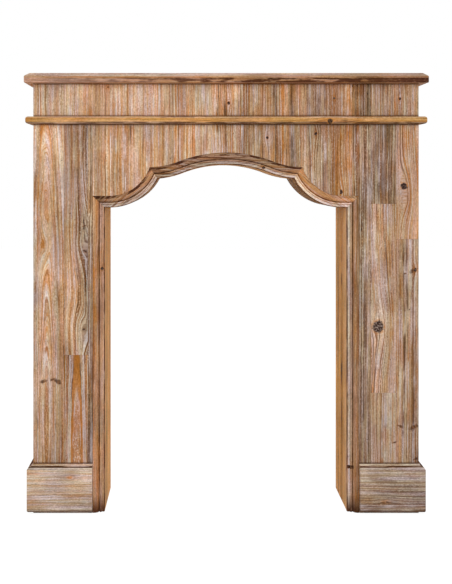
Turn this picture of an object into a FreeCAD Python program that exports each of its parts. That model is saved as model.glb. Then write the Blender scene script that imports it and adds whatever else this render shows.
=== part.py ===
import FreeCAD, Part

import math
import os

import Sketcher

# Fireplace surround of reclaimed fir, in millimetres. The origin is on the floor, at the middle of the
# overall box. X runs to the right, the face looks towards -Y, the wall is at +Y and Z is up.

# Driving sizes. Every size of the surround is one of these, or follows from them.
SIZES = {
    # The two legs and the header that spans them
    "face_width": 960.0,
    "leg_depth": 180.0,
    "leg_height": 1070.0,
    "front_thickness": 18.0,
    "side_thickness": 18.0,
    "jamb_thickness": 18.0,
    "glue_gap": 0.3,
    # Shelf, with a chamfer and a small nose on its front and both ends
    "shelf_overhang": 20.0,
    "shelf_thickness": 25.0,
    "shelf_chamfer_run": 12.0,
    "shelf_chamfer_drop": 7.5,
    "shelf_nose_run": 1.2,
    "shelf_nose_drop": 11.0,
    "shelf_nose_radius": 5.6,
    "shelf_ease": 2.0,
    # Bead that wraps the front and both sides, under a plain frieze
    "frieze_height": 83.0,
    "bead_height": 18.0,
    "bead_projection": 17.0,
    "bead_radius": 6.0,
    # Sight line of the opening: two straight legs, a scallop on each side and an ogee crown
    "sight_half_width": 303.0,
    "scallop_radius": 134.5,
    "scallop_centre_x": 290.0,
    "scallop_rise": 26.5,
    "crown_drop": 201.5,
    "crown_radius": 294.0,
    "flare_radius": 234.0,
    "flare_centre_x": 193.5,
    # Moulding round the opening: ovolo, quirk, eased fillet and lip
    "moulding_width": 29.0,
    "moulding_step": 1.0,
    "moulding_fillet": 1.6,
    "ovolo_width": 15.0,
    "ovolo_depth": 8.5,
    "ovolo_radius": 13.0,
    "quirk_width": 1.6,
    "quirk_depth": 11.0,
    "fillet_width": 4.6,
    "fillet_depth": 6.4,
    "fillet_ease": 1.2,
    "lip_depth": 9.5,
    "lip_ease": 2.0,
    # Plinths
    "plinth_projection": 14.0,
    "plinth_foot": 6.0,
    "plinth_top": 123.0,
    "plinth_shoulder": 111.5,
    "plinth_fillet": 1.6,
    "plinth_round_drop": 6.0,
    "plinth_round_depth": 7.6,
    "plinth_round_radius": 5.2,
    "plinth_cove_depth": 12.4,
    "plinth_cove_radius": 6.5,
    # Lining and the boards inside
    "lining_thickness": 9.0,
    "rear_panel_thickness": 12.0,
    "rear_panel_rise": 71.5,
    "spacer_thickness": 18.0,
    "spacer_setback": 12.0,
    "foot_spacer_height": 30.0,
    "top_spacer_drop": 25.5,
    "batten_clearance": 12.5,
    "batten_height": 44.0,
    "batten_thickness": 18.0,
    "cleat_height": 18.0,
    "cleat_thickness": 18.0,
    "rail_height": 80.0,
    "rail_thickness": 18.0,
    "wall_hole_spacing": 600.0,
    "wall_hole_diameter": 6.0,
    "wall_hole_drop": 40.0,
    # Screws that hold the shelf
    "screw_diameter": 4.0,
    "screw_length": 34.0,
    "screw_head_diameter": 8.0,
    "screw_head_height": 2.4,
    "screw_clearance": 0.2,
    "front_screw_spacing": 270.0,
    # Spare length that a mitre cut takes off
    "mitre_spare": 8.0,
}

LEFT = -1
RIGHT = 1
SIDE_NAMES = {LEFT: "left", RIGHT: "right"}
FRONT_SCREWS = 4
OVOLO_SIDE = 1


def arch_line(prefix, offset):
    """Formulas for the line that runs round the opening at an offset outside the sight line."""
    along = f"(centre_gap ^ 2 + {prefix}_scallop ^ 2 - {prefix}_flare ^ 2) / (2 * centre_gap)"
    across = f"sqrt({prefix}_scallop ^ 2 - {prefix}_along ^ 2)"
    share = f"{prefix}_crown / (Sizes.crown_radius + Sizes.flare_radius)"
    return {
        f"{prefix}_leg": f"=Sizes.sight_half_width + {offset}",
        f"{prefix}_shoulder": f"=scallop_centre_z - Sizes.scallop_radius + {offset}",
        f"{prefix}_scallop": f"=Sizes.scallop_radius - ({offset})",
        f"{prefix}_flare": f"=Sizes.flare_radius - ({offset})",
        f"{prefix}_crown": f"=Sizes.crown_radius + {offset}",
        f"{prefix}_turn_x": f"=Sizes.flare_centre_x * {share}",
        f"{prefix}_turn_z": f"=crown_centre_z + (flare_centre_z - crown_centre_z) * {share}",
        f"{prefix}_along": f"={along}",
        f"{prefix}_across": f"={across}",
        f"{prefix}_cusp_x": (f"=Sizes.scallop_centre_x - ({prefix}_along * gap_x"
                             f" + {prefix}_across * gap_z) / centre_gap"),
        f"{prefix}_cusp_z": (f"=scallop_centre_z + ({prefix}_along * gap_z"
                             f" - {prefix}_across * gap_x) / centre_gap"),
    }


# Lines that follow from the sizes. The flare arc touches the crown arc, so its centre height is worked out.
LINES = {
    "half_face": "=Sizes.face_width / 2",
    "back": "=(Sizes.leg_depth + Sizes.shelf_overhang) / 2",
    "face": "=back - Sizes.leg_depth",
    "front_back": "=face + Sizes.front_thickness",
    "side_inner": "=half_face - Sizes.side_thickness",
    "jamb_outer": "=Sizes.sight_half_width + Sizes.jamb_thickness",
    "shelf_front": "=face - Sizes.shelf_overhang",
    "shelf_end": "=half_face + Sizes.shelf_overhang",
    "shelf_top": "=Sizes.leg_height + Sizes.shelf_thickness",
    "cleat_rear": "=front_back + Sizes.cleat_thickness",
    "cleat_underside": "=Sizes.leg_height - Sizes.cleat_height",
    "rail_front": "=back - Sizes.rail_thickness",
    "bead_front": "=face - Sizes.bead_projection",
    "bead_end": "=half_face + Sizes.bead_projection",
    "plinth_front": "=face - Sizes.plinth_projection",
    "plinth_end": "=half_face + Sizes.plinth_projection",
    "bead_underside": "=Sizes.leg_height - Sizes.frieze_height - Sizes.bead_height",
    "crown_apex": "=Sizes.leg_height - Sizes.crown_drop",
    "scallop_centre_z": "=crown_apex + Sizes.scallop_rise",
    "rear_panel_top": "=crown_apex + Sizes.rear_panel_rise",
    "batten_underside": "=crown_apex + Sizes.moulding_width + Sizes.batten_clearance",
    "crown_centre_z": "=crown_apex - Sizes.crown_radius",
    "arc_reach": "=Sizes.crown_radius + Sizes.flare_radius",
    "flare_centre_z": "=crown_centre_z + sqrt(arc_reach ^ 2 - Sizes.flare_centre_x ^ 2)",
    "gap_x": "=Sizes.scallop_centre_x - Sizes.flare_centre_x",
    "gap_z": "=flare_centre_z - scallop_centre_z",
    "centre_gap": "=sqrt(gap_x ^ 2 + gap_z ^ 2)",
    **arch_line("sight", "0"),
    **arch_line("edge", "Sizes.moulding_width"),
    **arch_line("cut", "Sizes.moulding_width + Sizes.glue_gap"),
    **arch_line("lining", "Sizes.lining_thickness"),
    **arch_line("rear", "Sizes.lining_thickness + Sizes.glue_gap"),
    "foot_spacer": "=Sizes.foot_spacer_height",
    "top_spacer": "=sight_shoulder - Sizes.top_spacer_drop",
    "middle_spacer": "=(foot_spacer + top_spacer) / 2",
    "scallop_end_z": "=edge_cusp_z + Sizes.mitre_spare",
    "scallop_end_x": ("=Sizes.scallop_centre_x"
                      " - sqrt(Sizes.scallop_radius ^ 2 - (scallop_centre_z - scallop_end_z) ^ 2)"),
    "flare_end_x": "=Sizes.flare_centre_x + Sizes.mitre_spare",
    "flare_end_z": "=flare_centre_z - sqrt(Sizes.flare_radius ^ 2 - Sizes.mitre_spare ^ 2)",
}

doc = FreeCAD.newDocument("fireplace_surround")


def fill_sheet(name, cells):
    """A spreadsheet with one named value on each row."""
    made = doc.addObject("Spreadsheet::Sheet", name)
    for row, (alias, content) in enumerate(cells.items(), start=1):
        made.set(f"A{row}", alias)
        made.set(f"B{row}", str(content))
        made.setAlias(f"B{row}", alias)
    doc.recompute()
    return made


fill_sheet("Sizes", SIZES)
lines = fill_sheet("Lines", LINES)


def number(expression):
    """The present value of an expression over the two sheets."""
    return float(lines.evalExpression(expression))


# Helpers for sketches and solids


def plane_of(body, role):
    """One of the body's own origin planes."""
    return next(feature for feature in body.Origin.OriginFeatures if feature.Role == role)


def add_sketch(body, name, role, offset="0"):
    """A sketch on an origin plane of the body, moved along the plane's normal."""
    sketch = body.newObject("Sketcher::SketchObject", name)
    sketch.AttachmentSupport = (plane_of(body, role), [""])
    sketch.MapMode = "FlatFace"
    sketch.setExpression("AttachmentOffset.Base.z", offset)
    return sketch


def arc_middle(start, end, radius, bulge):
    """The middle point of an arc between two points that bulges towards a given side."""
    chord = end - start
    half = chord.Length / 2
    sagitta = radius - math.sqrt(radius ** 2 - half ** 2)
    normal = FreeCAD.Vector(-chord.y, chord.x, 0).normalize()
    if normal.dot(FreeCAD.Vector(*bulge, 0)) < 0:
        normal = -normal
    return (start + end) / 2 + normal * sagitta


def bind(sketch, constraint, name, expression):
    """Add a named constraint whose value is an expression."""
    index = sketch.addConstraint(constraint)
    sketch.renameConstraint(index, name)
    sketch.setExpression(f"Constraints.{name}", expression)


def draw(sketch, corners, rounds, closed=True):
    """Join corners by lines, or by arcs where rounds gives a side's radius and the way it bulges."""
    spots = [FreeCAD.Vector(number(x), number(y), 0) for x, y in corners]
    count = len(corners) if closed else len(corners) - 1
    ends = []
    for side in range(count):
        start = spots[side]
        end = spots[(side + 1) % len(spots)]
        if side in rounds:
            radius, bulge = rounds[side]
            middle = arc_middle(start, end, number(radius), bulge)
            item = sketch.addGeometry(Part.Arc(start, middle, end))
            bind(sketch, Sketcher.Constraint("Radius", item, number(radius)), f"radius{side}", radius)
        else:
            item = sketch.addGeometry(Part.LineSegment(start, end))
        runs_forward = (sketch.getPoint(item, 1) - start).Length < (sketch.getPoint(item, 2) - start).Length
        ends.append((item, 1, 2) if runs_forward else (item, 2, 1))
    for side, (item, first, last) in enumerate(ends):
        if closed or side < count - 1:
            following = ends[(side + 1) % count]
            sketch.addConstraint(Sketcher.Constraint("Coincident", item, last, following[0], following[1]))
        fix_corner(sketch, side, corners[side], spots[side], item, first)
    if not closed:
        fix_corner(sketch, count, corners[count], spots[count], ends[-1][0], ends[-1][2])


def fix_corner(sketch, place, corner, spot, item, vertex):
    """Tie a corner of an outline to the sheet by its two coordinates."""
    across = Sketcher.Constraint("DistanceX", -1, 1, item, vertex, spot.x)
    up = Sketcher.Constraint("DistanceY", -1, 1, item, vertex, spot.y)
    bind(sketch, across, f"across{place}", corner[0])
    bind(sketch, up, f"up{place}", corner[1])


def pad(body, sketch, length):
    """Pad a sketch along its plane's normal."""
    feature = body.newObject("PartDesign::Pad", "Pad")
    feature.Profile = sketch
    feature.setExpression("Length", length)
    return feature


def cut_through(body, role, name, corners):
    """Cut a straight-sided outline right through the body, both ways from the plane."""
    sketch = add_sketch(body, name, role)
    draw(sketch, corners, {})
    pocket = body.newObject("PartDesign::Pocket", f"{name}_cut")
    pocket.Profile = sketch
    pocket.Type = "ThroughAll"
    pocket.SideType = "Symmetric"


def board(label, x, y, z):
    """A plain board between two planes on each axis."""
    box = doc.addObject("Part::Box", label)
    for side, axis, (low, high) in zip(("Length", "Width", "Height"), ("x", "y", "z"), (x, y, z)):
        box.setExpression(side, f"({high}) - ({low})")
        box.setExpression(f"Placement.Base.{axis}", low)
    return box


def span(side, near, far):
    """The low and high X of a piece on one side of the middle, from its near and far distances."""
    return (near, far) if side == RIGHT else (f"-({far})", f"-({near})")


def sided(side, expression):
    """An X on one side of the middle."""
    return expression if side == RIGHT else f"-({expression})"


# Boards of the two legs


def make_leg(side):
    """Front board, outer side, jamb and spacers of one leg."""
    name = SIDE_NAMES[side]
    full_height = ("0", "Sizes.leg_height")
    behind_front = ("Lines.front_back", "Lines.back")
    board(f"{name}_leg_front", span(side, "Lines.cut_leg", "Lines.half_face"),
          ("Lines.face", "Lines.front_back"), full_height)
    board(f"{name}_outer_side", span(side, "Lines.side_inner", "Lines.half_face"),
          behind_front, full_height)
    board(f"{name}_jamb", span(side, "Sizes.sight_half_width", "Lines.jamb_outer"),
          ("Lines.front_back", "Lines.back"), ("0", "Lines.sight_shoulder"))
    for level in ("foot", "middle", "top"):
        underside = f"Lines.{level}_spacer"
        board(f"{name}_{level}_spacer", span(side, "Lines.jamb_outer", "Lines.side_inner"),
              ("Lines.front_back", "Lines.back - Sizes.spacer_setback"),
              (underside, f"{underside} + Sizes.spacer_thickness"))


# Panels that are cut to the arch


def arch_corners(prefix):
    """The line over the opening from the left shoulder to the right, with its arcs."""
    right = [
        (f"Lines.{prefix}_turn_x", f"Lines.{prefix}_turn_z"),
        (f"Lines.{prefix}_cusp_x", f"Lines.{prefix}_cusp_z"),
        ("Sizes.scallop_centre_x", f"Lines.{prefix}_shoulder"),
    ]
    left = [(f"-{x}", z) for x, z in reversed(right)]
    radii = ("scallop", "flare", "crown", "flare", "scallop")
    bulges = ((1, -1), (1, -1), (0, 1), (-1, -1), (-1, -1))
    rounds = [(f"Lines.{prefix}_{radius}", bulge) for radius, bulge in zip(radii, bulges)]
    return left + right, rounds


def make_arched_panel(label, prefix, front, rear, outer, top):
    """A flat panel over the opening whose lower edge is cut to the arch line."""
    body = doc.addObject("PartDesign::Body", label)
    sketch = add_sketch(body, f"{label}_outline", "XZ_Plane", f"-({rear})")
    arch, arcs = arch_corners(prefix)
    shoulder = f"Lines.{prefix}_shoulder"
    corners = [(f"-{outer}", shoulder)] + arch + [(outer, shoulder), (outer, top), (f"-{outer}", top)]
    draw(sketch, corners, {side: arc for side, arc in enumerate(arcs, start=1)})
    pad(body, sketch, f"({rear}) - ({front})")


def make_crown_lining():
    """The bent lining over the crown, between its two mitred ends."""
    body = doc.addObject("PartDesign::Body", "crown_soffit")
    sketch = add_sketch(body, "crown_soffit_outline", "XZ_Plane", "-Lines.back")
    below, below_arcs = arch_corners("sight")
    above, above_arcs = arch_corners("lining")
    corners = below[1:5] + above[4:0:-1]
    rounds = {side: arc for side, arc in enumerate(below_arcs[1:4])}
    rounds.update({side: arc for side, arc in enumerate(above_arcs[3:0:-1], start=4)})
    draw(sketch, corners, rounds)
    pad(body, sketch, "Lines.back - Lines.front_back")


def make_scallop_lining(side):
    """The bent lining of one scallop, which sits on the jamb and meets the crown lining at the cusp."""
    label = f"{SIDE_NAMES[side]}_scallop_soffit"
    body = doc.addObject("PartDesign::Body", label)
    sketch = add_sketch(body, f"{label}_outline", "XZ_Plane", "-Lines.back")
    corners = [
        (sided(side, "Lines.jamb_outer"), "Lines.sight_shoulder"),
        (sided(side, "Sizes.scallop_centre_x"), "Lines.sight_shoulder"),
        (sided(side, "Lines.sight_cusp_x"), "Lines.sight_cusp_z"),
        (sided(side, "Lines.lining_cusp_x"), "Lines.lining_cusp_z"),
        (sided(side, "Sizes.scallop_centre_x"), "Lines.lining_shoulder"),
        (sided(side, "Lines.jamb_outer"), "Lines.lining_shoulder"),
    ]
    bulge = (-side, -1)
    draw(sketch, corners, {1: ("Lines.sight_scallop", bulge), 3: ("Lines.lining_scallop", bulge)})
    pad(body, sketch, "Lines.back - Lines.front_back")


# Moulding round the opening: one profile, run along each length and mitred where the lengths meet


def moulding_profile(place):
    """Corners of the moulding. place turns a width and a depth into sketch coordinates."""
    width = "Sizes.moulding_width"
    quirk = "Sizes.ovolo_width + Sizes.quirk_width"
    lip = f"{quirk} + Sizes.fillet_width"
    profile = [
        ("0", "Sizes.moulding_step"),
        ("Sizes.moulding_fillet", "Sizes.moulding_step"),
        ("Sizes.ovolo_width", "Sizes.ovolo_depth"),
        ("Sizes.ovolo_width", "Sizes.quirk_depth"),
        (quirk, "Sizes.quirk_depth"),
        (quirk, "Sizes.fillet_depth + Sizes.fillet_ease"),
        (f"{quirk} + Sizes.fillet_ease", "Sizes.fillet_depth"),
        (f"{lip} - Sizes.fillet_ease", "Sizes.fillet_depth"),
        (lip, "Sizes.fillet_depth + Sizes.fillet_ease"),
        (lip, "Sizes.lip_depth"),
        (f"{width} - Sizes.lip_ease", "Sizes.lip_depth"),
        (width, "Sizes.lip_depth + Sizes.lip_ease"),
        (width, "Sizes.front_thickness"),
        ("0", "Sizes.front_thickness"),
    ]
    return [place(across, f"Lines.face + {depth}") for across, depth in profile]


def draw_moulding(sketch, place, out):
    """Draw the moulding's profile. out is the way that its ovolo bulges in the sketch."""
    draw(sketch, moulding_profile(place), {OVOLO_SIDE: ("Sizes.ovolo_radius", out)})


def sweep(body, profile, path):
    """Run a profile along a path."""
    feature = body.newObject("PartDesign::AdditivePipe", "Run")
    feature.Profile = profile
    feature.Spine = path
    return feature


def cusp_ends(side):
    """The two ends of the mitre at the cusp, with some length to spare past the moulding."""
    run = "Lines.edge_cusp_x - Lines.sight_cusp_x"
    rise = "Lines.edge_cusp_z - Lines.sight_cusp_z"
    spare = "Sizes.mitre_spare / Sizes.moulding_width"
    inner = (sided(side, f"Lines.sight_cusp_x - ({run}) * {spare}"),
             f"Lines.sight_cusp_z - ({rise}) * {spare}")
    outer = (sided(side, f"Lines.edge_cusp_x + ({run}) * {spare}"),
             f"Lines.edge_cusp_z + ({rise}) * {spare}")
    return inner, outer


def corner_ends(side):
    """The two ends of the mitre between a jamb length and its scallop, with some length to spare."""
    inner = (sided(side, "Lines.sight_leg - Sizes.mitre_spare"), "Lines.sight_shoulder - Sizes.mitre_spare")
    outer = (sided(side, "Lines.edge_leg + Sizes.mitre_spare"), "Lines.edge_shoulder + Sizes.mitre_spare")
    return inner, outer


def make_jamb_moulding(side):
    """The straight length up one jamb, from the floor to its mitre."""
    label = f"{SIDE_NAMES[side]}_jamb_moulding"
    body = doc.addObject("PartDesign::Body", label)
    sketch = add_sketch(body, f"{label}_profile", "XY_Plane")
    draw_moulding(sketch, lambda across, depth: (sided(side, f"Lines.edge_leg - ({across})"), depth),
                  (-side, -1))
    pad(body, sketch, "Lines.edge_shoulder")
    inner, outer = corner_ends(side)
    cut_through(body, "XZ_Plane", "corner_mitre", [inner, outer, (inner[0], outer[1])])


def make_scallop_moulding(side):
    """The length over one shoulder and round the scallop, mitred at the corner and at the cusp."""
    label = f"{SIDE_NAMES[side]}_scallop_moulding"
    body = doc.addObject("PartDesign::Body", label)
    start = sided(side, "Lines.edge_leg + Sizes.mitre_spare")
    profile = add_sketch(body, f"{label}_profile", "YZ_Plane", start)
    draw_moulding(profile, lambda across, depth: (depth, f"Lines.edge_shoulder - ({across})"), (-1, -1))
    path = add_sketch(body, f"{label}_path", "XZ_Plane", "-Lines.face")
    stations = [
        (start, "Lines.sight_shoulder"),
        (sided(side, "Sizes.scallop_centre_x"), "Lines.sight_shoulder"),
        (sided(side, "Lines.scallop_end_x"), "Lines.scallop_end_z"),
    ]
    draw(path, stations, {1: ("Sizes.scallop_radius", (-side, -1))}, closed=False)
    sweep(body, profile, path)
    inner, outer = corner_ends(side)
    cut_through(body, "XZ_Plane", "corner_mitre", [inner, outer, (outer[0], inner[1])])
    inner, outer = cusp_ends(side)
    above = f"{outer[1]} + Sizes.moulding_width"
    beyond = sided(side, "Lines.sight_cusp_x - 2 * Sizes.moulding_width")
    cut_through(body, "XZ_Plane", "cusp_mitre",
                [inner, outer, (outer[0], above), (beyond, above), (beyond, inner[1])])


def make_crown_moulding():
    """The length over the crown: its right half is run from the apex, mitred at the cusp and mirrored."""
    body = doc.addObject("PartDesign::Body", "crown_moulding")
    profile = add_sketch(body, "crown_moulding_profile", "YZ_Plane")
    apex = "Lines.crown_apex"
    draw_moulding(profile, lambda across, depth: (depth, f"{apex} + Sizes.moulding_width - ({across})"),
                  (-1, -1))
    path = add_sketch(body, "crown_moulding_path", "XZ_Plane", "-Lines.face")
    stations = [
        ("0", apex),
        ("Lines.sight_turn_x", "Lines.sight_turn_z"),
        ("Lines.flare_end_x", "Lines.flare_end_z"),
    ]
    draw(path, stations, {0: ("Sizes.crown_radius", (0, 1)), 1: ("Sizes.flare_radius", (0, -1))},
         closed=False)
    half = sweep(body, profile, path)
    inner, outer = cusp_ends(RIGHT)
    below = f"{inner[1]} - Sizes.moulding_width"
    beyond = f"{outer[0]} + 2 * Sizes.moulding_width"
    cut_through(body, "XZ_Plane", "cusp_mitre",
                [inner, outer, (beyond, outer[1]), (beyond, below), (inner[0], below)])
    doc.recompute()
    mirror = body.newObject("PartDesign::Mirrored", "Mirror")
    mirror.Originals = [half, body.Group[-2]]
    mirror.MirrorPlane = (plane_of(body, "YZ_Plane"), [""])
    body.Tip = mirror


# Bead, plinths and shelf


def bead_profile(face, front):
    """The bead's section, with its two front edges rounded."""
    top = "Lines.bead_underside + Sizes.bead_height"
    shoulder = f"{front[0]} {front[1]} Sizes.bead_radius"
    return [
        (face, "Lines.bead_underside"),
        (shoulder, "Lines.bead_underside"),
        (front[0], "Lines.bead_underside + Sizes.bead_radius"),
        (front[0], f"{top} - Sizes.bead_radius"),
        (shoulder, top),
        (face, top),
    ]


def make_bead():
    """A front strip and two side returns, mitred at the corners."""
    body = doc.addObject("PartDesign::Body", "bead_front")
    profile = add_sketch(body, "bead_front_profile", "YZ_Plane", "-Lines.bead_end")
    draw(profile, bead_profile("Lines.face", ("Lines.bead_front", "+")),
         {1: ("Sizes.bead_radius", (-1, -1)), 3: ("Sizes.bead_radius", (-1, 1))})
    pad(body, profile, "2 * Lines.bead_end")
    for side in (LEFT, RIGHT):
        mitre_front(body, side, "Lines.bead_end", "Lines.bead_front", "Sizes.bead_projection")
        make_bead_return(side)


def make_bead_return(side):
    """The bead along one outer side, from the front mitre to the wall."""
    label = f"{SIDE_NAMES[side]}_bead_return"
    body = doc.addObject("PartDesign::Body", label)
    profile = add_sketch(body, f"{label}_profile", "XZ_Plane", "-Lines.back")
    corners = bead_profile("Lines.half_face", ("Lines.bead_end", "-"))
    draw(profile, [(sided(side, x), z) for x, z in corners],
         {1: ("Sizes.bead_radius", (side, -1)), 3: ("Sizes.bead_radius", (side, 1))})
    pad(body, profile, "Lines.back - Lines.bead_front")
    mitre_return(body, side, "Lines.bead_end", "Lines.bead_front", "Sizes.bead_projection")


def mitre_front(body, side, end, front, projection):
    """Cut the end of a front strip at 45 degrees in plan."""
    outer = sided(side, f"{end} + {projection}")
    inner = sided(side, f"{end} - 2 * {projection}")
    cut_through(body, "XY_Plane", f"{SIDE_NAMES[side]}_mitre",
                [(outer, f"{front} - {projection}"), (outer, f"{front} + 2 * {projection}"),
                 (inner, f"{front} + 2 * {projection}")])


def mitre_return(body, side, end, front, projection):
    """Cut the front end of a side return at 45 degrees in plan."""
    outer = sided(side, f"{end} + {projection}")
    inner = sided(side, f"{end} - 2 * {projection}")
    cut_through(body, "XY_Plane", "front_mitre",
                [(outer, f"{front} - {projection}"), (inner, f"{front} + 2 * {projection}"),
                 (inner, f"{front} - {projection}")])


def plinth_profile(across):
    """The plinth's section: a flat face under a quarter round and a cove. across places a projection."""
    profile = [
        ("0", "Sizes.plinth_foot"),
        ("Sizes.plinth_projection", "Sizes.plinth_foot"),
        ("Sizes.plinth_projection", "Sizes.plinth_shoulder"),
        ("Sizes.plinth_projection - Sizes.plinth_fillet", "Sizes.plinth_shoulder"),
        ("Sizes.plinth_projection - Sizes.plinth_round_depth",
         "Sizes.plinth_shoulder + Sizes.plinth_round_drop"),
        ("Sizes.plinth_projection - Sizes.plinth_cove_depth", "Sizes.plinth_top"),
        ("0", "Sizes.plinth_top"),
    ]
    return [(across(depth), height) for depth, height in profile]


def make_plinth(side):
    """A front board and a side return round the foot of one leg."""
    name = SIDE_NAMES[side]
    front = doc.addObject("PartDesign::Body", f"{name}_plinth_front")
    low, high = span(side, "Lines.cut_leg", "Lines.plinth_end")
    profile = add_sketch(front, f"{name}_plinth_front_profile", "YZ_Plane", low)
    draw(profile, plinth_profile(lambda depth: f"Lines.face - ({depth})"),
         {3: ("Sizes.plinth_round_radius", (-1, 1)), 4: ("Sizes.plinth_cove_radius", (1, -1))})
    pad(front, profile, f"({high}) - ({low})")
    mitre_front(front, side, "Lines.plinth_end", "Lines.plinth_front", "Sizes.plinth_projection")
    back = doc.addObject("PartDesign::Body", f"{name}_plinth_side")
    profile = add_sketch(back, f"{name}_plinth_side_profile", "XZ_Plane", "-Lines.back")
    draw(profile, plinth_profile(lambda depth: sided(side, f"Lines.half_face + ({depth})")),
         {3: ("Sizes.plinth_round_radius", (side, 1)), 4: ("Sizes.plinth_cove_radius", (-side, -1))})
    pad(back, profile, "Lines.back - Lines.plinth_front")
    mitre_return(back, side, "Lines.plinth_end", "Lines.plinth_front", "Sizes.plinth_projection")


def shelf_edge(edge, inward):
    """The moulded edge of the shelf from its underside to its top. inward is the sign of the way in."""
    return [
        (f"{edge} {inward} Sizes.shelf_ease", "Sizes.leg_height"),
        (edge, "Sizes.leg_height + Sizes.shelf_ease"),
        (edge, "Lines.shelf_top - Sizes.shelf_nose_drop"),
        (f"{edge} {inward} Sizes.shelf_nose_run", "Lines.shelf_top - Sizes.shelf_chamfer_drop"),
        (f"{edge} {inward} Sizes.shelf_chamfer_run", "Lines.shelf_top"),
    ]


def make_shelf_blank():
    """The shelf before drilling: its front edge is run along X, then both ends are cut to it."""
    body = doc.addObject("PartDesign::Body", "shelf_blank")
    profile = add_sketch(body, "shelf_profile", "YZ_Plane", "-Lines.shelf_end")
    corners = shelf_edge("Lines.shelf_front", "+")
    corners += [("Lines.back", "Lines.shelf_top"), ("Lines.back", "Sizes.leg_height")]
    draw(profile, corners, {0: ("Sizes.shelf_ease", (-1, -1)), 2: ("Sizes.shelf_nose_radius", (-1, 1))})
    pad(body, profile, "2 * Lines.shelf_end")
    for side in (LEFT, RIGHT):
        name = f"{SIDE_NAMES[side]}_end"
        sketch = add_sketch(body, name, "XZ_Plane")
        outside = "Lines.shelf_end + Sizes.shelf_overhang"
        edge = shelf_edge("Lines.shelf_end", "-")
        edge += [(outside, "Lines.shelf_top"), (outside, "Sizes.leg_height")]
        draw(sketch, [(sided(side, x), z) for x, z in edge],
             {0: ("Sizes.shelf_ease", (side, -1)), 2: ("Sizes.shelf_nose_radius", (side, 1))})
        pocket = body.newObject("PartDesign::Pocket", f"{name}_cut")
        pocket.Profile = sketch
        pocket.Type = "ThroughAll"
        pocket.SideType = "Symmetric"
    return body


# Inner frame, its holes and the screws


def post(label, spot, radius, low, high):
    """An upright cylinder at an X and Y."""
    shaft = doc.addObject("Part::Cylinder", label)
    shaft.setExpression("Radius", radius)
    shaft.setExpression("Height", f"({high}) - ({low})")
    shaft.setExpression("Placement.Base.x", spot[0])
    shaft.setExpression("Placement.Base.y", spot[1])
    shaft.setExpression("Placement.Base.z", low)
    return shaft


def drill(label, blank, holes):
    """A piece with holes cut in it."""
    tool = doc.addObject("Part::Compound", f"{label}_holes")
    tool.Links = holes
    piece = doc.addObject("Part::Cut", label)
    piece.Base = blank
    piece.Tool = tool
    return piece


def front_screw_spots():
    """Places of the screws along the front cleat."""
    middle = (FRONT_SCREWS - 1) / 2
    depth = "Lines.front_back + Sizes.cleat_thickness / 2"
    return [(f"Sizes.front_screw_spacing * {place - middle}", depth) for place in range(FRONT_SCREWS)]


def side_screw_spot(side):
    """Place of the screw in the middle of one side cleat."""
    across = sided(side, "Lines.side_inner - Sizes.cleat_thickness / 2")
    return (across, "(Lines.cleat_rear + Lines.rail_front) / 2")


def make_cleat(label, x, y, spots):
    """A batten under the shelf with a clearance hole for each screw."""
    blank = board(f"{label}_blank", x, y, ("Lines.cleat_underside", "Sizes.leg_height"))
    radius = "Sizes.screw_diameter / 2 + Sizes.screw_clearance"
    holes = [post(f"{label}_hole{place}", spot, radius, "Lines.cleat_underside", "Sizes.leg_height")
             for place, spot in enumerate(spots)]
    drill(label, blank, holes)


def make_screw(place, spot):
    """One screw: a flat head under the cleat and a shank that reaches into the shelf."""
    shank = post(f"screw{place}_shank", spot, "Sizes.screw_diameter / 2",
                 "Lines.cleat_underside", "Lines.cleat_underside + Sizes.screw_length")
    head = post(f"screw{place}_head", spot, "Sizes.screw_head_diameter / 2",
                "Lines.cleat_underside - Sizes.screw_head_height", "Lines.cleat_underside")
    screw = doc.addObject("Part::Fuse", f"screw{place}")
    screw.Base = shank
    screw.Tool = head
    return screw


def make_shelf_and_cleats():
    """The drilled shelf, the three cleats under it and the screws that join them."""
    between_sides = ("-Lines.side_inner", "Lines.side_inner")
    front_spots = front_screw_spots()
    make_cleat("front_cleat", between_sides, ("Lines.front_back", "Lines.cleat_rear"), front_spots)
    spots = list(front_spots)
    for side in (LEFT, RIGHT):
        spot = side_screw_spot(side)
        make_cleat(f"{SIDE_NAMES[side]}_cleat",
                   span(side, "Lines.side_inner - Sizes.cleat_thickness", "Lines.side_inner"),
                   ("Lines.cleat_rear", "Lines.rail_front"), [spot])
        spots.append(spot)
    screws = doc.addObject("Part::Compound", "shelf_screws")
    screws.Links = [make_screw(place, spot) for place, spot in enumerate(spots)]
    radius = "Sizes.screw_diameter / 2 + Sizes.screw_clearance"
    tip = "Lines.cleat_underside + Sizes.screw_length + Sizes.screw_clearance"
    pilots = [post(f"pilot{place}", spot, radius, "Sizes.leg_height", tip)
              for place, spot in enumerate(spots)]
    drill("mantel_shelf", make_shelf_blank(), pilots)


def make_back_rail():
    """The rail at the wall, with two holes for the wall screws."""
    blank = board("back_rail_blank", ("-Lines.side_inner", "Lines.side_inner"),
                  ("Lines.rail_front", "Lines.back"),
                  ("Sizes.leg_height - Sizes.rail_height", "Sizes.leg_height"))
    holes = []
    for side in (LEFT, RIGHT):
        spot = (sided(side, "Sizes.wall_hole_spacing / 2"), "Lines.back")
        hole = post(f"{SIDE_NAMES[side]}_wall_hole", spot, "Sizes.wall_hole_diameter / 2",
                    "0", "Sizes.rail_thickness")
        hole.setExpression("Placement.Base.z", "Sizes.leg_height - Sizes.wall_hole_drop")
        hole.Placement.Rotation = FreeCAD.Rotation(FreeCAD.Vector(1, 0, 0), 90)
        holes.append(hole)
    drill("back_rail", blank, holes)


def make_tie_batten():
    """The batten that ties the header to the two legs from behind."""
    board("tie_batten", ("-Lines.side_inner", "Lines.side_inner"),
          ("Lines.front_back", "Lines.front_back + Sizes.batten_thickness"),
          ("Lines.batten_underside", "Lines.batten_underside + Sizes.batten_height"))


# Build


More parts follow.
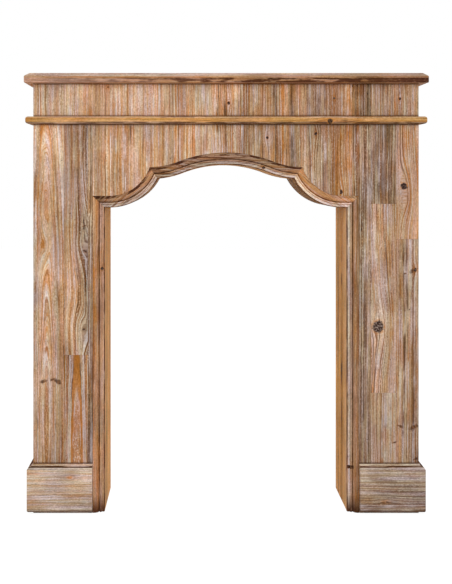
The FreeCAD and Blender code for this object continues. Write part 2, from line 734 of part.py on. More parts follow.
make_shelf_and_cleats()
make_back_rail()
make_tie_batten()
make_bead()
make_arched_panel("header_panel", "cut", "Lines.face", "Lines.front_back",
                  "Lines.cut_leg", "Sizes.leg_height")
make_arched_panel("rear_arch_panel", "rear", "Lines.back - Sizes.rear_panel_thickness", "Lines.back",
                  "Lines.side_inner", "Lines.rear_panel_top")
make_crown_moulding()
make_crown_lining()
for leg in (LEFT, RIGHT):
    make_leg(leg)
    make_jamb_moulding(leg)
    make_scallop_moulding(leg)
    make_scallop_lining(leg)
    make_plinth(leg)
doc.recompute()

NODES = [
    "mantel_shelf", "shelf_screws", "front_cleat", "left_cleat", "right_cleat", "back_rail", "tie_batten",
    "header_panel", "rear_arch_panel", "crown_moulding", "crown_soffit", "bead_front",
]
SIDED_NODES = [
    "leg_front", "outer_side", "jamb", "foot_spacer", "middle_spacer", "top_spacer", "jamb_moulding",
    "scallop_moulding", "scallop_soffit", "plinth_front", "plinth_side", "bead_return",
]
NODES += [f"{SIDE_NAMES[leg]}_{piece}" for piece in SIDED_NODES for leg in (LEFT, RIGHT)]

# Check everything before anything is written

for item in doc.Objects:
    if "Invalid" in item.State or "Error" in item.State:
        raise RuntimeError(f"{item.Label} failed to build")
pieces = [doc.getObjectsByLabel(node)[0] for node in NODES]
for piece in pieces:
    if piece.Shape.isNull() or not piece.Shape.isValid():
        raise RuntimeError(f"{piece.Label} has no valid shape")

os.makedirs("parts", exist_ok=True)
for piece in pieces:
    piece.Shape.exportStep(f"parts/{piece.Label}.step")
    print(f"{piece.Label}: {len(piece.Shape.Solids)} solid(s), {piece.Shape.Volume / 1000:.1f} cm3")
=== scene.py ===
# %% [markdown]
# # A fireplace surround in limed fir
# The real surround stands in front of a chimney breast: two box legs, a header cut to an arch, a moulding
# round the opening and a shelf on top. It is joined from staves of old fir, brushed, rubbed with white lime
# and waxed. The CAD model already holds every board at its true size. This lesson gives each board its
# staves, its softened edges and its wood, and never moves a board.

# %% Load the frame
import math
import random
from collections import namedtuple

import bmesh
import bpy
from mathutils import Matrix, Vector


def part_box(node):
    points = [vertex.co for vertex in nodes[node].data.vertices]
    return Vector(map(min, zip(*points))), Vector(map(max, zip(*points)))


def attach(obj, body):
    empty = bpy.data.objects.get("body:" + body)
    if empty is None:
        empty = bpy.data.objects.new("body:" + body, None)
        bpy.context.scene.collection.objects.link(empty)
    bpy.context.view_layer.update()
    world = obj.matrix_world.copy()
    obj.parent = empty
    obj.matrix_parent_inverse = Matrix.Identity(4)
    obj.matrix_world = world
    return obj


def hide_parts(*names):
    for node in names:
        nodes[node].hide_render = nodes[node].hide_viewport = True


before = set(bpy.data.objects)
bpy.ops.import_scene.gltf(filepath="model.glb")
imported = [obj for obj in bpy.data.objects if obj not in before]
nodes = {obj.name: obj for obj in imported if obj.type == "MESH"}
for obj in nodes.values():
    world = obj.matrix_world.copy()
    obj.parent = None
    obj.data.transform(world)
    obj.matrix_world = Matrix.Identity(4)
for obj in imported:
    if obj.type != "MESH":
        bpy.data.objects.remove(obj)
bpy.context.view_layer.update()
scene = bpy.context.scene
scene.view_settings.view_transform = "Standard"
print("CAD nodes loaded:", len(nodes))

# %% [markdown]
# ## Camera
# The photograph was taken square to the face, from left of the middle and at about three quarters of the
# height: the jambs recede towards one vanishing point. A camera that looks straight along Y keeps the face
# free of keystoning, and its shift puts the vanishing point where the photograph has it. Turning the camera
# instead would make the uprights lean.

# %% Camera at the photograph's place
PHOTO_WIDTH = 452
PHOTO_HEIGHT = 584
VANISHING_X = 189
VANISHING_Y = 178
MIDDLE_LINE_X = 226
FLOOR_LINE_Y = 513
FACE_PIXELS_PER_METRE = 401.5
CAMERA_TO_FACE = 2.2

face_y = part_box("header_panel")[0].y
camera_data = bpy.data.cameras.new("photo_camera")
camera_data.sensor_fit = "VERTICAL"
camera_data.sensor_height = 36.0
camera_data.lens = camera_data.sensor_height * FACE_PIXELS_PER_METRE * CAMERA_TO_FACE / PHOTO_HEIGHT
camera_data.shift_x = (PHOTO_WIDTH / 2 - VANISHING_X) / PHOTO_HEIGHT
camera_data.shift_y = (VANISHING_Y - PHOTO_HEIGHT / 2) / PHOTO_HEIGHT
camera = bpy.data.objects.new("photo_camera", camera_data)
camera.location.x = (VANISHING_X - MIDDLE_LINE_X) / FACE_PIXELS_PER_METRE
camera.location.y = face_y - CAMERA_TO_FACE
camera.location.z = (FLOOR_LINE_Y - VANISHING_Y) / FACE_PIXELS_PER_METRE
camera.rotation_euler.x = math.radians(90)
scene.collection.objects.link(camera)
scene.camera = camera
print("lens:", round(camera_data.lens, 1), "mm")

# %% [markdown]
# ## Wiring nodes
# Every finish here is a node tree. Written out one link at a time, a tree is hard to read. So what a node
# gives out is wrapped in a small class that knows plus, minus, times and divide, and each of these adds the
# node that does it. A formula for the grain then reads like a formula.

# %% Helpers that wire nodes
# A mix node has several sockets of the same name, so its colour sockets are found by number
MIX_SHARE, MIX_FIRST, MIX_SECOND, MIX_RESULT = 0, 6, 7, 2
SOCKET_KINDS = {"value": "NodeSocketFloat", "vector": "NodeSocketVector", "colour": "NodeSocketColor"}
UNSCALED = (1.0, 1.0, 1.0)


class Value:
    """What a node gives out. Arithmetic with it adds the nodes for that arithmetic."""

    def __init__(self, wiring, socket):
        self.wiring = wiring
        self.socket = socket

    def __add__(self, other):
        return self.wiring.math("ADD", self, other)

    def __mul__(self, other):
        return self.wiring.math("MULTIPLY", self, other)

    def __sub__(self, other):
        return self.wiring.math("SUBTRACT", self, other)

    def __rsub__(self, other):
        return self.wiring.math("SUBTRACT", other, self)

    def __truediv__(self, other):
        return self.wiring.math("DIVIDE", self, other)

    __radd__ = __add__
    __rmul__ = __mul__

    def rise(self, low, high):
        """0 below low, 1 above high and a smooth rise between them."""
        made = self.wiring.node("ShaderNodeMapRange", interpolation_type="SMOOTHSTEP")
        self.wiring.fill(made, {"Value": self, "From Min": low, "From Max": high})
        return Value(self.wiring, made.outputs[0])

    def fall(self, low, high):
        """1 below low, 0 above high and a smooth fall between them."""
        return 1.0 - self.rise(low, high)

    def share(self, low, high):
        """A value from 0 to 1 stretched to run from low to high."""
        return low + self * (high - low)

    def split(self):
        """The three parts of a vector."""
        made = self.wiring.node("ShaderNodeSeparateXYZ")
        self.wiring.feed(made.inputs[0], self)
        return [Value(self.wiring, part) for part in made.outputs]


class Wiring:
    """Adds nodes to a tree and links them."""

    def __init__(self, tree):
        self.tree = tree

    def node(self, kind, **settings):
        """A new node with some of its settings given."""
        made = self.tree.nodes.new(kind)
        for name, value in settings.items():
            setattr(made, name, value)
        return made

    def feed(self, socket, value):
        """Link a node's output to a socket, or give the socket a plain value."""
        if isinstance(value, Value):
            self.tree.links.new(value.socket, socket)
        else:
            socket.default_value = value

    def fill(self, made, values):
        """Feed a node's sockets by name."""
        for name, value in values.items():
            self.feed(made.inputs[name], value)

    def add(self, kind, *values, output=0, **settings):
        """A new node with its first sockets fed, and what it gives out."""
        made = self.node(kind, **settings)
        for socket, value in zip(made.inputs, values):
            self.feed(socket, value)
        return Value(self, made.outputs[output])

    def wrapped(self, made):
        """All that a node gives out, by name."""
        return {socket.name: Value(self, socket) for socket in made.outputs}

    def math(self, operation, *values):
        """One step of arithmetic."""
        return self.add("ShaderNodeMath", *values, operation=operation)

    def root(self, value):
        """A square root."""
        return self.math("SQRT", value)

    def largest(self, first, *others):
        """The largest of several values."""
        for other in others:
            first = self.math("MAXIMUM", first, other)
        return first

    def mix(self, share, first, second, blend="MIX"):
        """Two colours mixed."""
        made = self.node("ShaderNodeMix", data_type="RGBA", blend_type=blend)
        for place, value in ((MIX_SHARE, share), (MIX_FIRST, first), (MIX_SECOND, second)):
            self.feed(made.inputs[place], value)
        return Value(self, made.outputs[MIX_RESULT])

    def join(self, x, y, z):
        """A vector from three values."""
        return self.add("ShaderNodeCombineXYZ", x, y, z)

    def noise(self, place, scale=UNSCALED, detail=2.0):
        """A soft noise between 0 and 1, with its marks as close as the scale says."""
        stretched = self.add("ShaderNodeVectorMath", place, scale, operation="MULTIPLY")
        made = self.node("ShaderNodeTexNoise")
        self.fill(made, {"Vector": stretched, "Scale": 1.0, "Detail": detail})
        return Value(self, made.outputs[0])

    def attribute(self, name):
        """A vector that the mesh carries on its points or corners."""
        return self.add("ShaderNodeAttribute", output="Vector", attribute_name=name)

    def coordinates(self):
        """The place on the object."""
        return self.add("ShaderNodeTexCoord", output="Object")

    def use(self, group, values):
        """A node group with its inputs fed by name, and all that it gives out."""
        made = self.node("ShaderNodeGroup", node_tree=group)
        self.fill(made, values)
        return self.wrapped(made)

    def give(self, values):
        """Finish a group: feed its outputs by name."""
        self.fill(self.node("NodeGroupOutput"), values)
        print("group made:", self.tree.name)
        return self.tree


def start_group(name, inputs, outputs):
    """An empty group with named sockets: its wiring and what comes in."""
    group = bpy.data.node_groups.new(name, "ShaderNodeTree")
    for direction, sockets in (("INPUT", inputs), ("OUTPUT", outputs)):
        for socket_name, kind in sockets.items():
            group.interface.new_socket(socket_name, in_out=direction, socket_type=SOCKET_KINDS[kind])
    wiring = Wiring(group)
    return wiring, wiring.wrapped(wiring.node("NodeGroupInput"))


def start_material(name):
    """A new material, its wiring and its Principled shader."""
    material = bpy.data.materials.new(name)
    material.use_nodes = True
    return material, Wiring(material.node_tree), material.node_tree.nodes["Principled BSDF"]


def srgb(red, green, blue):
    """A colour as a paint chart gives it, 0 to 255, turned into the linear values that nodes hold."""
    shares = [channel / 255 for channel in (red, green, blue)]
    linear = [share / 12.92 if share <= 0.04045 else ((share + 0.055) / 1.055) ** 2.4 for share in shares]
    return (*linear, 1.0)


print("wiring helpers ready")

# %% [markdown]
# ## Light and floor
# A catalogue photograph has a white ground and soft light. One broad lamp at the front gives the shelf and
# the bead their soft shadows, and a plain white sky fills the rest. The camera sees the sky and most of the
# floor as pure white, through the Light Path node, so the white does not depend on how much light falls on
# the wood. A part of the floor's own shading stays in the mix, and keeps the shadow under the plinths.

# %% Sky, lamp and floor
WHITE = (1.0, 1.0, 1.0, 1.0)
SKY_STRENGTH = 0.61
LAMP_POWER = 27.5
LAMP_SIZE = 1.8
LAMP_PLACE = Vector((-0.1, -2.6, 2.0))
LAMP_AIM = Vector((0.0, 0.0, 0.6))
FLOOR_HALF_WIDTH = 8.0
FLOOR_GLOW = 0.94
FLOOR_PAINT = srgb(228, 226, 223)
FLOOR_SHADING = (0.20, 0.20, 0.20, 1.0)


def seen_directly(wiring):
    """1 for what the camera sees, also in a reflection or through glass."""
    path = wiring.wrapped(wiring.node("ShaderNodeLightPath"))
    return wiring.largest(path["Is Camera Ray"], path["Is Glossy Ray"], path["Is Transmission Ray"])


def make_sky():
    """A white sky that lights the object softly and is pure white to the camera."""
    world = bpy.data.worlds.new("studio_sky")
    world.use_nodes = True
    world.node_tree.nodes.clear()
    wiring = Wiring(world.node_tree)
    glow = wiring.add("ShaderNodeBackground", WHITE, SKY_STRENGTH)
    white = wiring.add("ShaderNodeBackground", WHITE, 1.0)
    seen = wiring.add("ShaderNodeMixShader", seen_directly(wiring), glow, white)
    wiring.fill(wiring.node("ShaderNodeOutputWorld"), {"Surface": seen})
    scene.world = world


def make_lamp():
    """A broad lamp at the front."""
    lamp = bpy.data.lights.new("front_lamp", "AREA")
    lamp.shape = "SQUARE"
    lamp.size = LAMP_SIZE
    lamp.energy = LAMP_POWER
    holder = bpy.data.objects.new("front_lamp", lamp)
    holder.location = LAMP_PLACE
    holder.rotation_euler = (LAMP_AIM - LAMP_PLACE).to_track_quat("-Z", "Y").to_euler()
    scene.collection.objects.link(holder)


def make_floor():
    """A pale floor whose own shading is a part of what the camera sees."""
    bm = bmesh.new()
    bmesh.ops.create_grid(bm, x_segments=1, y_segments=1, size=FLOOR_HALF_WIDTH)
    mesh = bpy.data.meshes.new("floor")
    bm.to_mesh(mesh)
    bm.free()
    material, wiring, shader = start_material("pale_floor")
    wiring.tree.nodes.remove(shader)
    paint = wiring.add("ShaderNodeBsdfDiffuse", FLOOR_PAINT)
    shading = wiring.add("ShaderNodeBsdfDiffuse", FLOOR_SHADING)
    glow = wiring.add("ShaderNodeEmission", WHITE, FLOOR_GLOW)
    seen = wiring.add("ShaderNodeAddShader", shading, glow)
    mixed = wiring.add("ShaderNodeMixShader", seen_directly(wiring), paint, seen)
    wiring.fill(wiring.tree.nodes["Material Output"], {"Surface": mixed})
    mesh.materials.append(material)
    floor = bpy.data.objects.new("floor", mesh)
    scene.collection.objects.link(floor)


make_sky()
make_lamp()
make_floor()
print("sky, lamp and floor made")

# %% [markdown]
# ## Streaks along the grain
# Lime, wax, resin and dirt all settle in long thin marks that follow the fibres. They differ in fineness,
# length and how much they cover, so one group makes them all: a noise that is squeezed across the grain,
# drawn out along it and cut off at a level. The wood is solid, so the same noise turns to dots on an
# end-grain face, as it should.

# %% Group: streaks
STREAK_MIDDLE = 0.70
STREAK_RANGE = 0.42

wiring, given = start_group(
    "streaks",
    {"Place": "vector", "Across": "value", "Along": "value", "Cover": "value", "Softness": "value"},
    {"Mask": "value"})
marks = wiring.noise(given["Place"], wiring.join(given["Across"], given["Across"], given["Along"]))
level = STREAK_MIDDLE - given["Cover"] * STREAK_RANGE
streaks = wiring.give({"Mask": marks.rise(level, level + given["Softness"])})

# %% [markdown]
# ## Knots
# A knot is the root of a branch. The fibres part round it as water parts round a stone: the place across
# the grain shrinks towards the knot's middle line, the more the nearer it is, and the ring pattern that is
# drawn on the bent place flows round the knot by itself. The growth layers also swell towards a branch,
# which closes some rings into long eyes. Drawing a disc on straight grain would look like a sticker. A knot
# with a negative radius lies just below the face: the fibres still flow round it, but its heart does not
# show.

# %% Group: knot
FLOW_STRETCH = 0.42
FLOW_CLEARANCE = 1.6
SWELL_STRETCH = 0.30
SWELL_REACH = 2.6
HEART_STRETCH = 0.92
HEART_EDGE = (0.75, 1.12)
HALO_EDGE = (0.6, 2.6)
KNOT_WOBBLE = 0.9
HIDDEN_SPREAD = 9.0
FLECKED_RADIUS = (0.009, 0.0135)
TINY = 1e-6

wiring, given = start_group(
    "knot",
    {"Place": "vector", "Knot": "vector", "Wobble": "value"},
    {"Place": "vector", "Heart": "value", "Halo": "value", "Spread": "value", "Swell": "value",
     "Flecks": "value"})
across, deep, along = given["Place"].split()
knot_across, knot_along, signed_radius = given["Knot"].split()
radius = wiring.math("ABSOLUTE", signed_radius)
safe_radius = wiring.largest(radius, TINY)
beside = across - knot_across
above = along - knot_along


def squared_reach(stretch):
    """Squared distance from the knot's middle, with the way along the grain shortened."""
    shortened = above * stretch
    return beside * beside + shortened * shortened


flow = squared_reach(FLOW_STRETCH)
kept = (flow + TINY * TINY) / (flow + radius * radius * FLOW_CLEARANCE + TINY * TINY)
swell_reach = safe_radius * SWELL_REACH
swell = squared_reach(SWELL_STRETCH) / (swell_reach * swell_reach)
hidden = wiring.math("LESS_THAN", signed_radius, 0.0)
spread = wiring.root(squared_reach(HEART_STRETCH)) / safe_radius
spread = spread + given["Wobble"] * KNOT_WOBBLE + hidden * HIDDEN_SPREAD
knot = wiring.give({
    "Place": wiring.join(knot_across + beside * kept, deep, along),
    "Swell": wiring.math("EXPONENT", swell * -1.0) * radius,
    "Spread": spread,
    "Heart": spread.fall(*HEART_EDGE),
    "Flecks": radius.rise(*FLECKED_RADIUS),
    "Halo": (wiring.root(flow) / safe_radius).fall(*HALO_EDGE)})

# %% [markdown]
# ## Branch marks and bark slivers
# Where the saw met a branch along its length, the face shows a dark wing instead of a round knot. It is an
# ellipse laid nearly across the grain, tipped a little one way or the other, with a ragged edge. A sliver
# of bark that grew into the wood is the same ellipse, drawn out along the grain and not tipped.

# %% Group: branch mark
MARK_TIP = math.tan(math.radians(17))
MARK_THICKNESS = 0.55
SLIVER_THICKNESS = 11.0
MARK_WOBBLE = 1.6
MARK_EDGE = (0.35, 1.15)

wiring, given = start_group(
    "branch mark",
    {"Place": "vector", "Mark": "vector", "Thickness": "value", "Tip": "value", "Wobble": "value"},
    {"Mask": "value"})
across, _, along = given["Place"].split()
mark_across, mark_along, length = given["Mark"].split()
beside = across - mark_across
lifted = along - mark_along - wiring.math("SIGN", length) * given["Tip"] * beside
safe_length = wiring.largest(wiring.math("ABSOLUTE", length), TINY)
run = beside / safe_length
climb = lifted / (safe_length * given["Thickness"])
reach = wiring.root(run * run + climb * climb) + given["Wobble"] * MARK_WOBBLE
branch_mark = wiring.give({"Mask": reach.fall(*MARK_EDGE)})

# %% [markdown]
# ## Growth rings
# A board is a slice of a trunk. Each year adds a wide pale ring and a thin hard dark one, round a pith that
# lies somewhere behind the board and a little out of line with it. The distance from the pith, divided by
# the width of a ring, counts the years. Seen on the face, that gives straight lines where the pith is far
# to one side and flames where it is right behind, so one formula gives every board its own figure. Each
# year also gets three random levels of its own, because no two rings take lime, resin and dirt alike.

# %% Group: growth rings
SWAY_SCALE = (13.0, 13.0, 2.8)
RING_SWAY = 0.011
RIPPLE_SCALE = (45.0, 45.0, 22.0)
RING_RIPPLE = 0.0035
UNEVEN_YEARS = 0.4
RING_UNEVENNESS = 2.2
LATE_FULL = 0.85
LATE_END = (0.93, 1.0)
EARLY_END = (0.35, 0.7)

wiring, given = start_group(
    "growth rings",
    {"Place": "vector", "Pith": "vector", "Swell": "value", "Ring Width": "value", "Late Start": "value",
     "Seed": "value"},
    {"Late Wood": "value", "Early Wood": "value", "Year": "colour", "Line": "vector"})
across, deep, along = given["Place"].split()
pith_across, pith_deep, pith_slope = given["Pith"].split()
seed = given["Seed"]
seeded_place = wiring.join(across, deep + seed, along)
sway = wiring.noise(seeded_place, SWAY_SCALE, detail=1.0)
ripple = wiring.noise(seeded_place, RIPPLE_SCALE)
beside = across - pith_across
behind = pith_deep + pith_slope * along - deep
reach = wiring.root(beside * beside + behind * behind)
reach = reach + given["Swell"] + sway * RING_SWAY + ripple * RING_RIPPLE
years = reach / given["Ring Width"]
thick_and_thin = wiring.noise(wiring.join(years * UNEVEN_YEARS, seed, 0.0), detail=1.0)
years = years + thick_and_thin * RING_UNEVENNESS
season = wiring.math("FRACT", years)
year_and_seed = wiring.join(wiring.math("FLOOR", years), seed, 0.0)
growth_rings = wiring.give({
    "Late Wood": season.rise(given["Late Start"], LATE_FULL) * season.fall(*LATE_END),
    "Early Wood": season.fall(*EARLY_END),
    "Year": wiring.add("ShaderNodeTexWhiteNoise", year_and_seed, output="Color", noise_dimensions="2D"),
    "Line": wiring.join(reach, seed, along)})

# %% [markdown]
# ## The limed fir itself
# Brushing wears the soft early wood down and leaves the late wood as ridges. Lime then lies in the hollows,
# while the ridges stay brown and warm. On old wood there are also orange streaks of resin, grey weathered
# patches and dark lines of dirt. Resin gathers round a small knot, and lime round a large, cracked one. The
# group lays these over each other in the order in which they came to be. Each stave carries its own pith,
# ring width, knots and tone as attributes, so all the boards share one recipe and none look alike. A second
# attribute, written on the corners of each face, says where dirt and lime settled, where shade and
# highlights are painted on, and where edges wore.

# %% Group: limed fir, its figure
KNOT_NAMES = ("knot_one", "knot_two")
MARK_NAMES = ("mark_one", "mark_two", "mark_three", "mark_four", "mark_five")
SLIVER_NAMES = ("sliver_one", "sliver_two")
WOBBLE_SCALE = (150.0, 150.0, 150.0)
LATE_STARTS = (0.7, 0.45)

wiring, given = start_group(
    "limed fir",
    {"Early Wood": "colour", "Late Wood": "colour", "Resin": "colour", "Lime": "colour", "Grey": "colour",
     "Dirt": "colour", "Knot": "colour", "Ring Contrast": "value", "Lime Amount": "value",
     "Dirt Amount": "value", "Joint Dirt And Shade": "value"},
    {"Color": "colour", "Roughness": "value", "Height": "value"})
warmth, wash, shade = wiring.attribute("tone").split()
ring_width, seed, boldness = wiring.attribute("growth").split()
settled_dirt_and_shade, settled_lime_and_highlight, worn = wiring.attribute("settle_and_shade").split()
straight_place = wiring.attribute("grain_place")
wobble = wiring.noise(straight_place, WOBBLE_SCALE, detail=3.0) - 0.5
first_knot, second_knot = (wiring.attribute(name) for name in KNOT_NAMES)
first = wiring.use(knot, {"Place": straight_place, "Knot": first_knot, "Wobble": wobble})
second = wiring.use(knot, {"Place": first["Place"], "Knot": second_knot, "Wobble": wobble})
rings = wiring.use(growth_rings, {
    "Place": second["Place"], "Pith": wiring.attribute("pith"), "Swell": first["Swell"] + second["Swell"],
    "Ring Width": ring_width, "Late Start": boldness.share(*LATE_STARTS), "Seed": seed})
ring_warmth, ring_lime, ring_shade = rings["Year"].split()
line = rings["Line"]
place = wiring.add("ShaderNodeVectorMath", second["Place"], wiring.join(seed, seed, seed), operation="ADD")
heart, halo, flecked = (wiring.largest(first[name], second[name]) for name in ("Heart", "Halo", "Flecks"))
spread = wiring.math("MINIMUM", first["Spread"], second["Spread"])
mark = 0.0
for name in (*MARK_NAMES, *SLIVER_NAMES):
    thickness, tip = (MARK_THICKNESS, MARK_TIP) if name in MARK_NAMES else (SLIVER_THICKNESS, 0.0)
    found = wiring.use(branch_mark, {"Place": straight_place, "Mark": wiring.attribute(name),
                                     "Thickness": thickness, "Tip": tip, "Wobble": wobble})
    mark = wiring.largest(mark, found["Mask"])

# %% Group: limed fir, its ground and rings
# The two numbers of a rise or a fall are the levels where that mask starts and where it is full or gone.
# How close the marks of a noise lie, per metre across, behind and along the grain, and how detailed they are
NOISES = {
    "blooms": ((20.0, 20.0, 9.0), 3.0),
    "patches": ((45.0, 45.0, 16.0), 3.0),
    "age": ((80.0, 80.0, 8.0), 3.0),
    "smears": ((170.0, 170.0, 26.0), 3.0),
    "grit": ((360.0, 360.0, 260.0), 2.0),
    "broken": ((420.0, 420.0, 130.0), 2.0),
    "fibres": ((520.0, 520.0, 110.0), 3.0),
}
STAIN_SCALE = (11.0, 11.0, 8.0)
BAND_SCALE = (38.0, 1.0, 1.5)


def add_streaks(place, across, along, cover, softness):
    """A mask of streaks in the fir."""
    return wiring.use(streaks, {"Place": place, "Across": across, "Along": along, "Cover": cover,
                                "Softness": softness})["Mask"]


blooms, patches, age, smears, grit, broken, fibres = (
    wiring.noise(place, scale, detail) for scale, detail in NOISES.values())
stains = wiring.noise(straight_place, STAIN_SCALE, detail=3.0)
bands = wiring.noise(line, BAND_SCALE)
grey_bloom = (blooms + bands).rise(1.0, 1.25) * warmth.share(0.8, 0.2)
worn_patches = patches.fall(0.30, 0.48) * warmth.share(0.35, 0.75)
resin_streaks = add_streaks(line, 170.0, 3.5, warmth.share(0.05, 0.6), 0.08) * patches.share(1.0, 0.3)
ground = given["Early Wood"]
for mask, colour in (
        (warmth * 0.24, "Resin"),
        (wash * 0.25, "Lime"),
        (grey_bloom, "Grey"),
        (warmth.fall(-0.3, 0.1) * 0.5, "Grey"),
        (worn_patches, "Resin"),
        (resin_streaks, "Resin"),
        (halo * flecked.share(0.7, 0.0), "Resin"),
        (halo * flecked.share(0.0, 0.45), "Lime")):
    ground = wiring.mix(mask, ground, given[colour])
late_warmth = (warmth + ring_warmth).rise(0.5, 1.6) * 0.7
late_colour = wiring.mix(late_warmth, given["Late Wood"], given["Resin"])
late_colour = wiring.mix(warmth.fall(0.0, 0.3) * 0.7, late_colour, given["Dirt"])
late = rings["Late Wood"] * ring_shade.share(0.25, 1.0) * boldness.share(0.7, 1.4)
late = wiring.math("MINIMUM", late, 1.0)
wood = wiring.mix(late * given["Ring Contrast"], ground, late_colour)

# %% Group: limed fir, its lime, dirt, painted shade and painted highlights
HAIR_SCALE = (420.0, 1.0, 3.0)
FACE_SIDE = (0.012, 0.016)

hairs = wiring.noise(line, HAIR_SCALE, detail=1.0)
bold_lime = rings["Early Wood"] * ring_lime.rise(0.4, 0.75) * boldness
lime_streaks = add_streaks(line, 310.0, 2.5, wash.share(0.25, 0.55), 0.05) * patches.rise(0.36, 0.58)
lime_hairs = hairs.rise(0.50, 0.64) * grit.rise(0.28, 0.52) * 0.62
lime_flecks = broken.rise(0.56, 0.74) * wash.share(0.1, 0.7)
lime_and_highlight = wiring.largest(0.0, bold_lime, lime_streaks, lime_hairs, lime_flecks) * given["Lime Amount"]
worn_lime = worn * broken.rise(0.42, 0.6) * 0.6
# Lime and painted highlights from the faces' corners
lime_and_highlight = wiring.largest(lime_and_highlight, settled_lime_and_highlight * broken.rise(0.15, 0.5), worn_lime)
wood = wiring.mix(lime_and_highlight, wood, given["Lime"])
bare = wash.share(1.1, 0.35)
kept_dirt = patches.fall(0.42, 0.66)
dark_streaks = add_streaks(line, 350.0, 2.0, shade.share(0.2, 0.5), 0.05) * kept_dirt * bare
dark_hairs = hairs.fall(0.34, 0.50) * grit.fall(0.48, 0.75) * shade.share(0.7, 1.4) * bare
brown = wiring.math("MINIMUM", wiring.largest(dark_streaks, dark_hairs), 1.0)
wood = wiring.mix(brown * given["Dirt Amount"], wood, late_colour)
dirt_streaks = add_streaks(line, 340.0, 3.5, shade.share(0.05, 0.45), 0.05)
dirt_streaks = dirt_streaks * kept_dirt * bare * given["Dirt Amount"]
thin_patches = settled_dirt_and_shade.fall(0.95, 1.05) * smears.rise(0.40, 0.60).share(0.6, -0.6)
face_side = straight_place.split()[1].fall(*FACE_SIDE)
# Dirt and painted shade from the faces' corners and from the joints
dirt_and_painted_shade = wiring.largest(settled_dirt_and_shade * (1.0 + thin_patches), given["Joint Dirt And Shade"] * face_side)
dots = add_streaks(place, 230.0, 140.0, -0.08, 0.04)
# This dirt mask also carries that painted shade, which the dirt colour paints
dirt = wiring.largest(dirt_streaks, dirt_and_painted_shade * fibres.rise(0.15, 0.5), dots)
wood = wiring.mix(dirt, wood, given["Dirt"])

# %% Group: limed fir, its light, knots and relief
YELLOWED = (1.0, 1.01, 0.90, 1.0)
BLUED = (1.0, 0.985, 1.10, 1.0)
SPECKLE_SCALE = (250.0, 250.0, 250.0)

banding = (bands - 0.5) * wash.share(1.7, 0.2) + 1.0
light = fibres.share(0.5, 1.5) * grit.share(0.7, 1.3) * stains.share(0.45, 1.55) * banding
light = light * shade.share(1.15, 0.65)
ageing = wiring.mix(age.rise(0.38, 0.62), YELLOWED, BLUED)
for tint in (wiring.join(light, light, light), ageing):
    wood = wiring.mix(1.0, wood, tint, blend="MULTIPLY")
branch_colour = wiring.mix(fibres.rise(0.4, 0.65), given["Knot"], given["Late Wood"])
wood = wiring.mix(mark * 0.9, wood, branch_colour)
bark = spread.rise(0.8, 1.0) * spread.fall(1.1, 1.5) * wobble.rise(-0.1, 0.1)
wood = wiring.mix(bark * 0.6, wood, given["Resin"])
speckle = wiring.noise(straight_place, SPECKLE_SCALE)
core = wiring.mix(speckle.rise(0.46, 0.62) * flecked.share(0.3, 0.9), given["Knot"], given["Grey"])
core = wiring.mix(speckle.rise(0.63, 0.70) * flecked, core, given["Lime"])
rim = heart * spread.rise(0.68, 0.88)
core = wiring.mix(rim * 0.85, core, given["Knot"])
limed_fir = wiring.give({
    "Color": wiring.mix(heart, wood, core),
    "Roughness": 0.55 + lime_and_highlight * 0.3 + late * -0.1,
    "Height": late * 0.6 + fibres * 0.6 + dirt * -0.8 + rim * -0.4 + mark * -0.5})

# %% [markdown]
# ## Finishes
# The face, the trim, the lining and the hidden frame are the same timber with different care: the face is
# limed heavily, the trim is waxed and warmer, the lining and the bead are oiled, and the frame is raw from
# the saw. Each is a Principled shader with the group's colour, roughness and relief, and hardly any shine.
# Dirt also gathers where one board stands on another, and shade is painted on below the shelf and the
# bead, so a material knows the levels of those joints.

# %% Wood materials
Finish = namedtuple("Finish", "material slot")
MERGE_DISTANCE = 1e-5
RELIEF_DISTANCE = 0.0007
RELIEF_STRENGTH = 0.6
SHINE = 0.02
UP, DOWN = 1, -1
FIR_COLOURS = {
    "Early Wood": srgb(209, 168, 127),
    "Late Wood": srgb(138, 90, 54),
    "Resin": srgb(206, 131, 58),
    # The lime colour also paints the highlights on the bead, the plinth rounds and the shelf's chamfer
    "Lime": srgb(227, 211, 199),
    "Grey": srgb(168, 146, 134),
    # The dirt colour also paints the shade under the shelf, the bead and the plinth rounds
    "Dirt": srgb(92, 61, 40),
    "Knot": srgb(62, 43, 37),
}
# The trim's dirt colour also paints the shade along the moulding's edge, in its quirk and in its nick
TRIM_COLOURS = {"Early Wood": srgb(202, 152, 106), "Dirt": srgb(88, 52, 34)}
OILED_COLOURS = {"Early Wood": srgb(231, 171, 90), "Resin": srgb(208, 139, 62), "Grey": srgb(184, 143, 92)}
FRAME_COLOURS = {"Early Wood": srgb(206, 172, 130)}


def joint_dirt_and_shade(wiring, joints):
    """A mask of dirt and painted shade that fades away from each joint, up or down, within its reach."""
    height = wiring.coordinates().split()[2]
    mask = 0.0
    for level, direction, reach in joints:
        away = (height - level) * direction
        mask = wiring.largest(mask, away.fall(0.0, reach) * away.rise(-MERGE_DISTANCE, 0.0))
    return mask


def make_wood(name, slot, rings, lime, dirt, changes=(), joints=()):
    """A finish from the limed fir group, with as much of its rings, lime and dirt as the levels say."""
    material, wiring, shader = start_material(name)
    fir = wiring.use(limed_fir, {**FIR_COLOURS, **dict(changes), "Ring Contrast": rings, "Lime Amount": lime,
                                 "Dirt Amount": dirt, "Joint Dirt And Shade": joint_dirt_and_shade(wiring, joints)})
    bump = wiring.node("ShaderNodeBump")
    wiring.fill(bump, {"Strength": RELIEF_STRENGTH, "Distance": RELIEF_DISTANCE, "Height": fir["Height"]})
    wiring.fill(shader, {"Base Color": fir["Color"], "Roughness": fir["Roughness"],
                         "Normal": Value(wiring, bump.outputs[0]), "Specular IOR Level": SHINE})
    print("wood made:", name)
    return Finish(material, slot)


bead_bottom, bead_top = (corner.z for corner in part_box("bead_front"))
shelf_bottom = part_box("mantel_shelf")[0].z
plinth_foot, plinth_top = (corner.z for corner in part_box("left_plinth_front"))
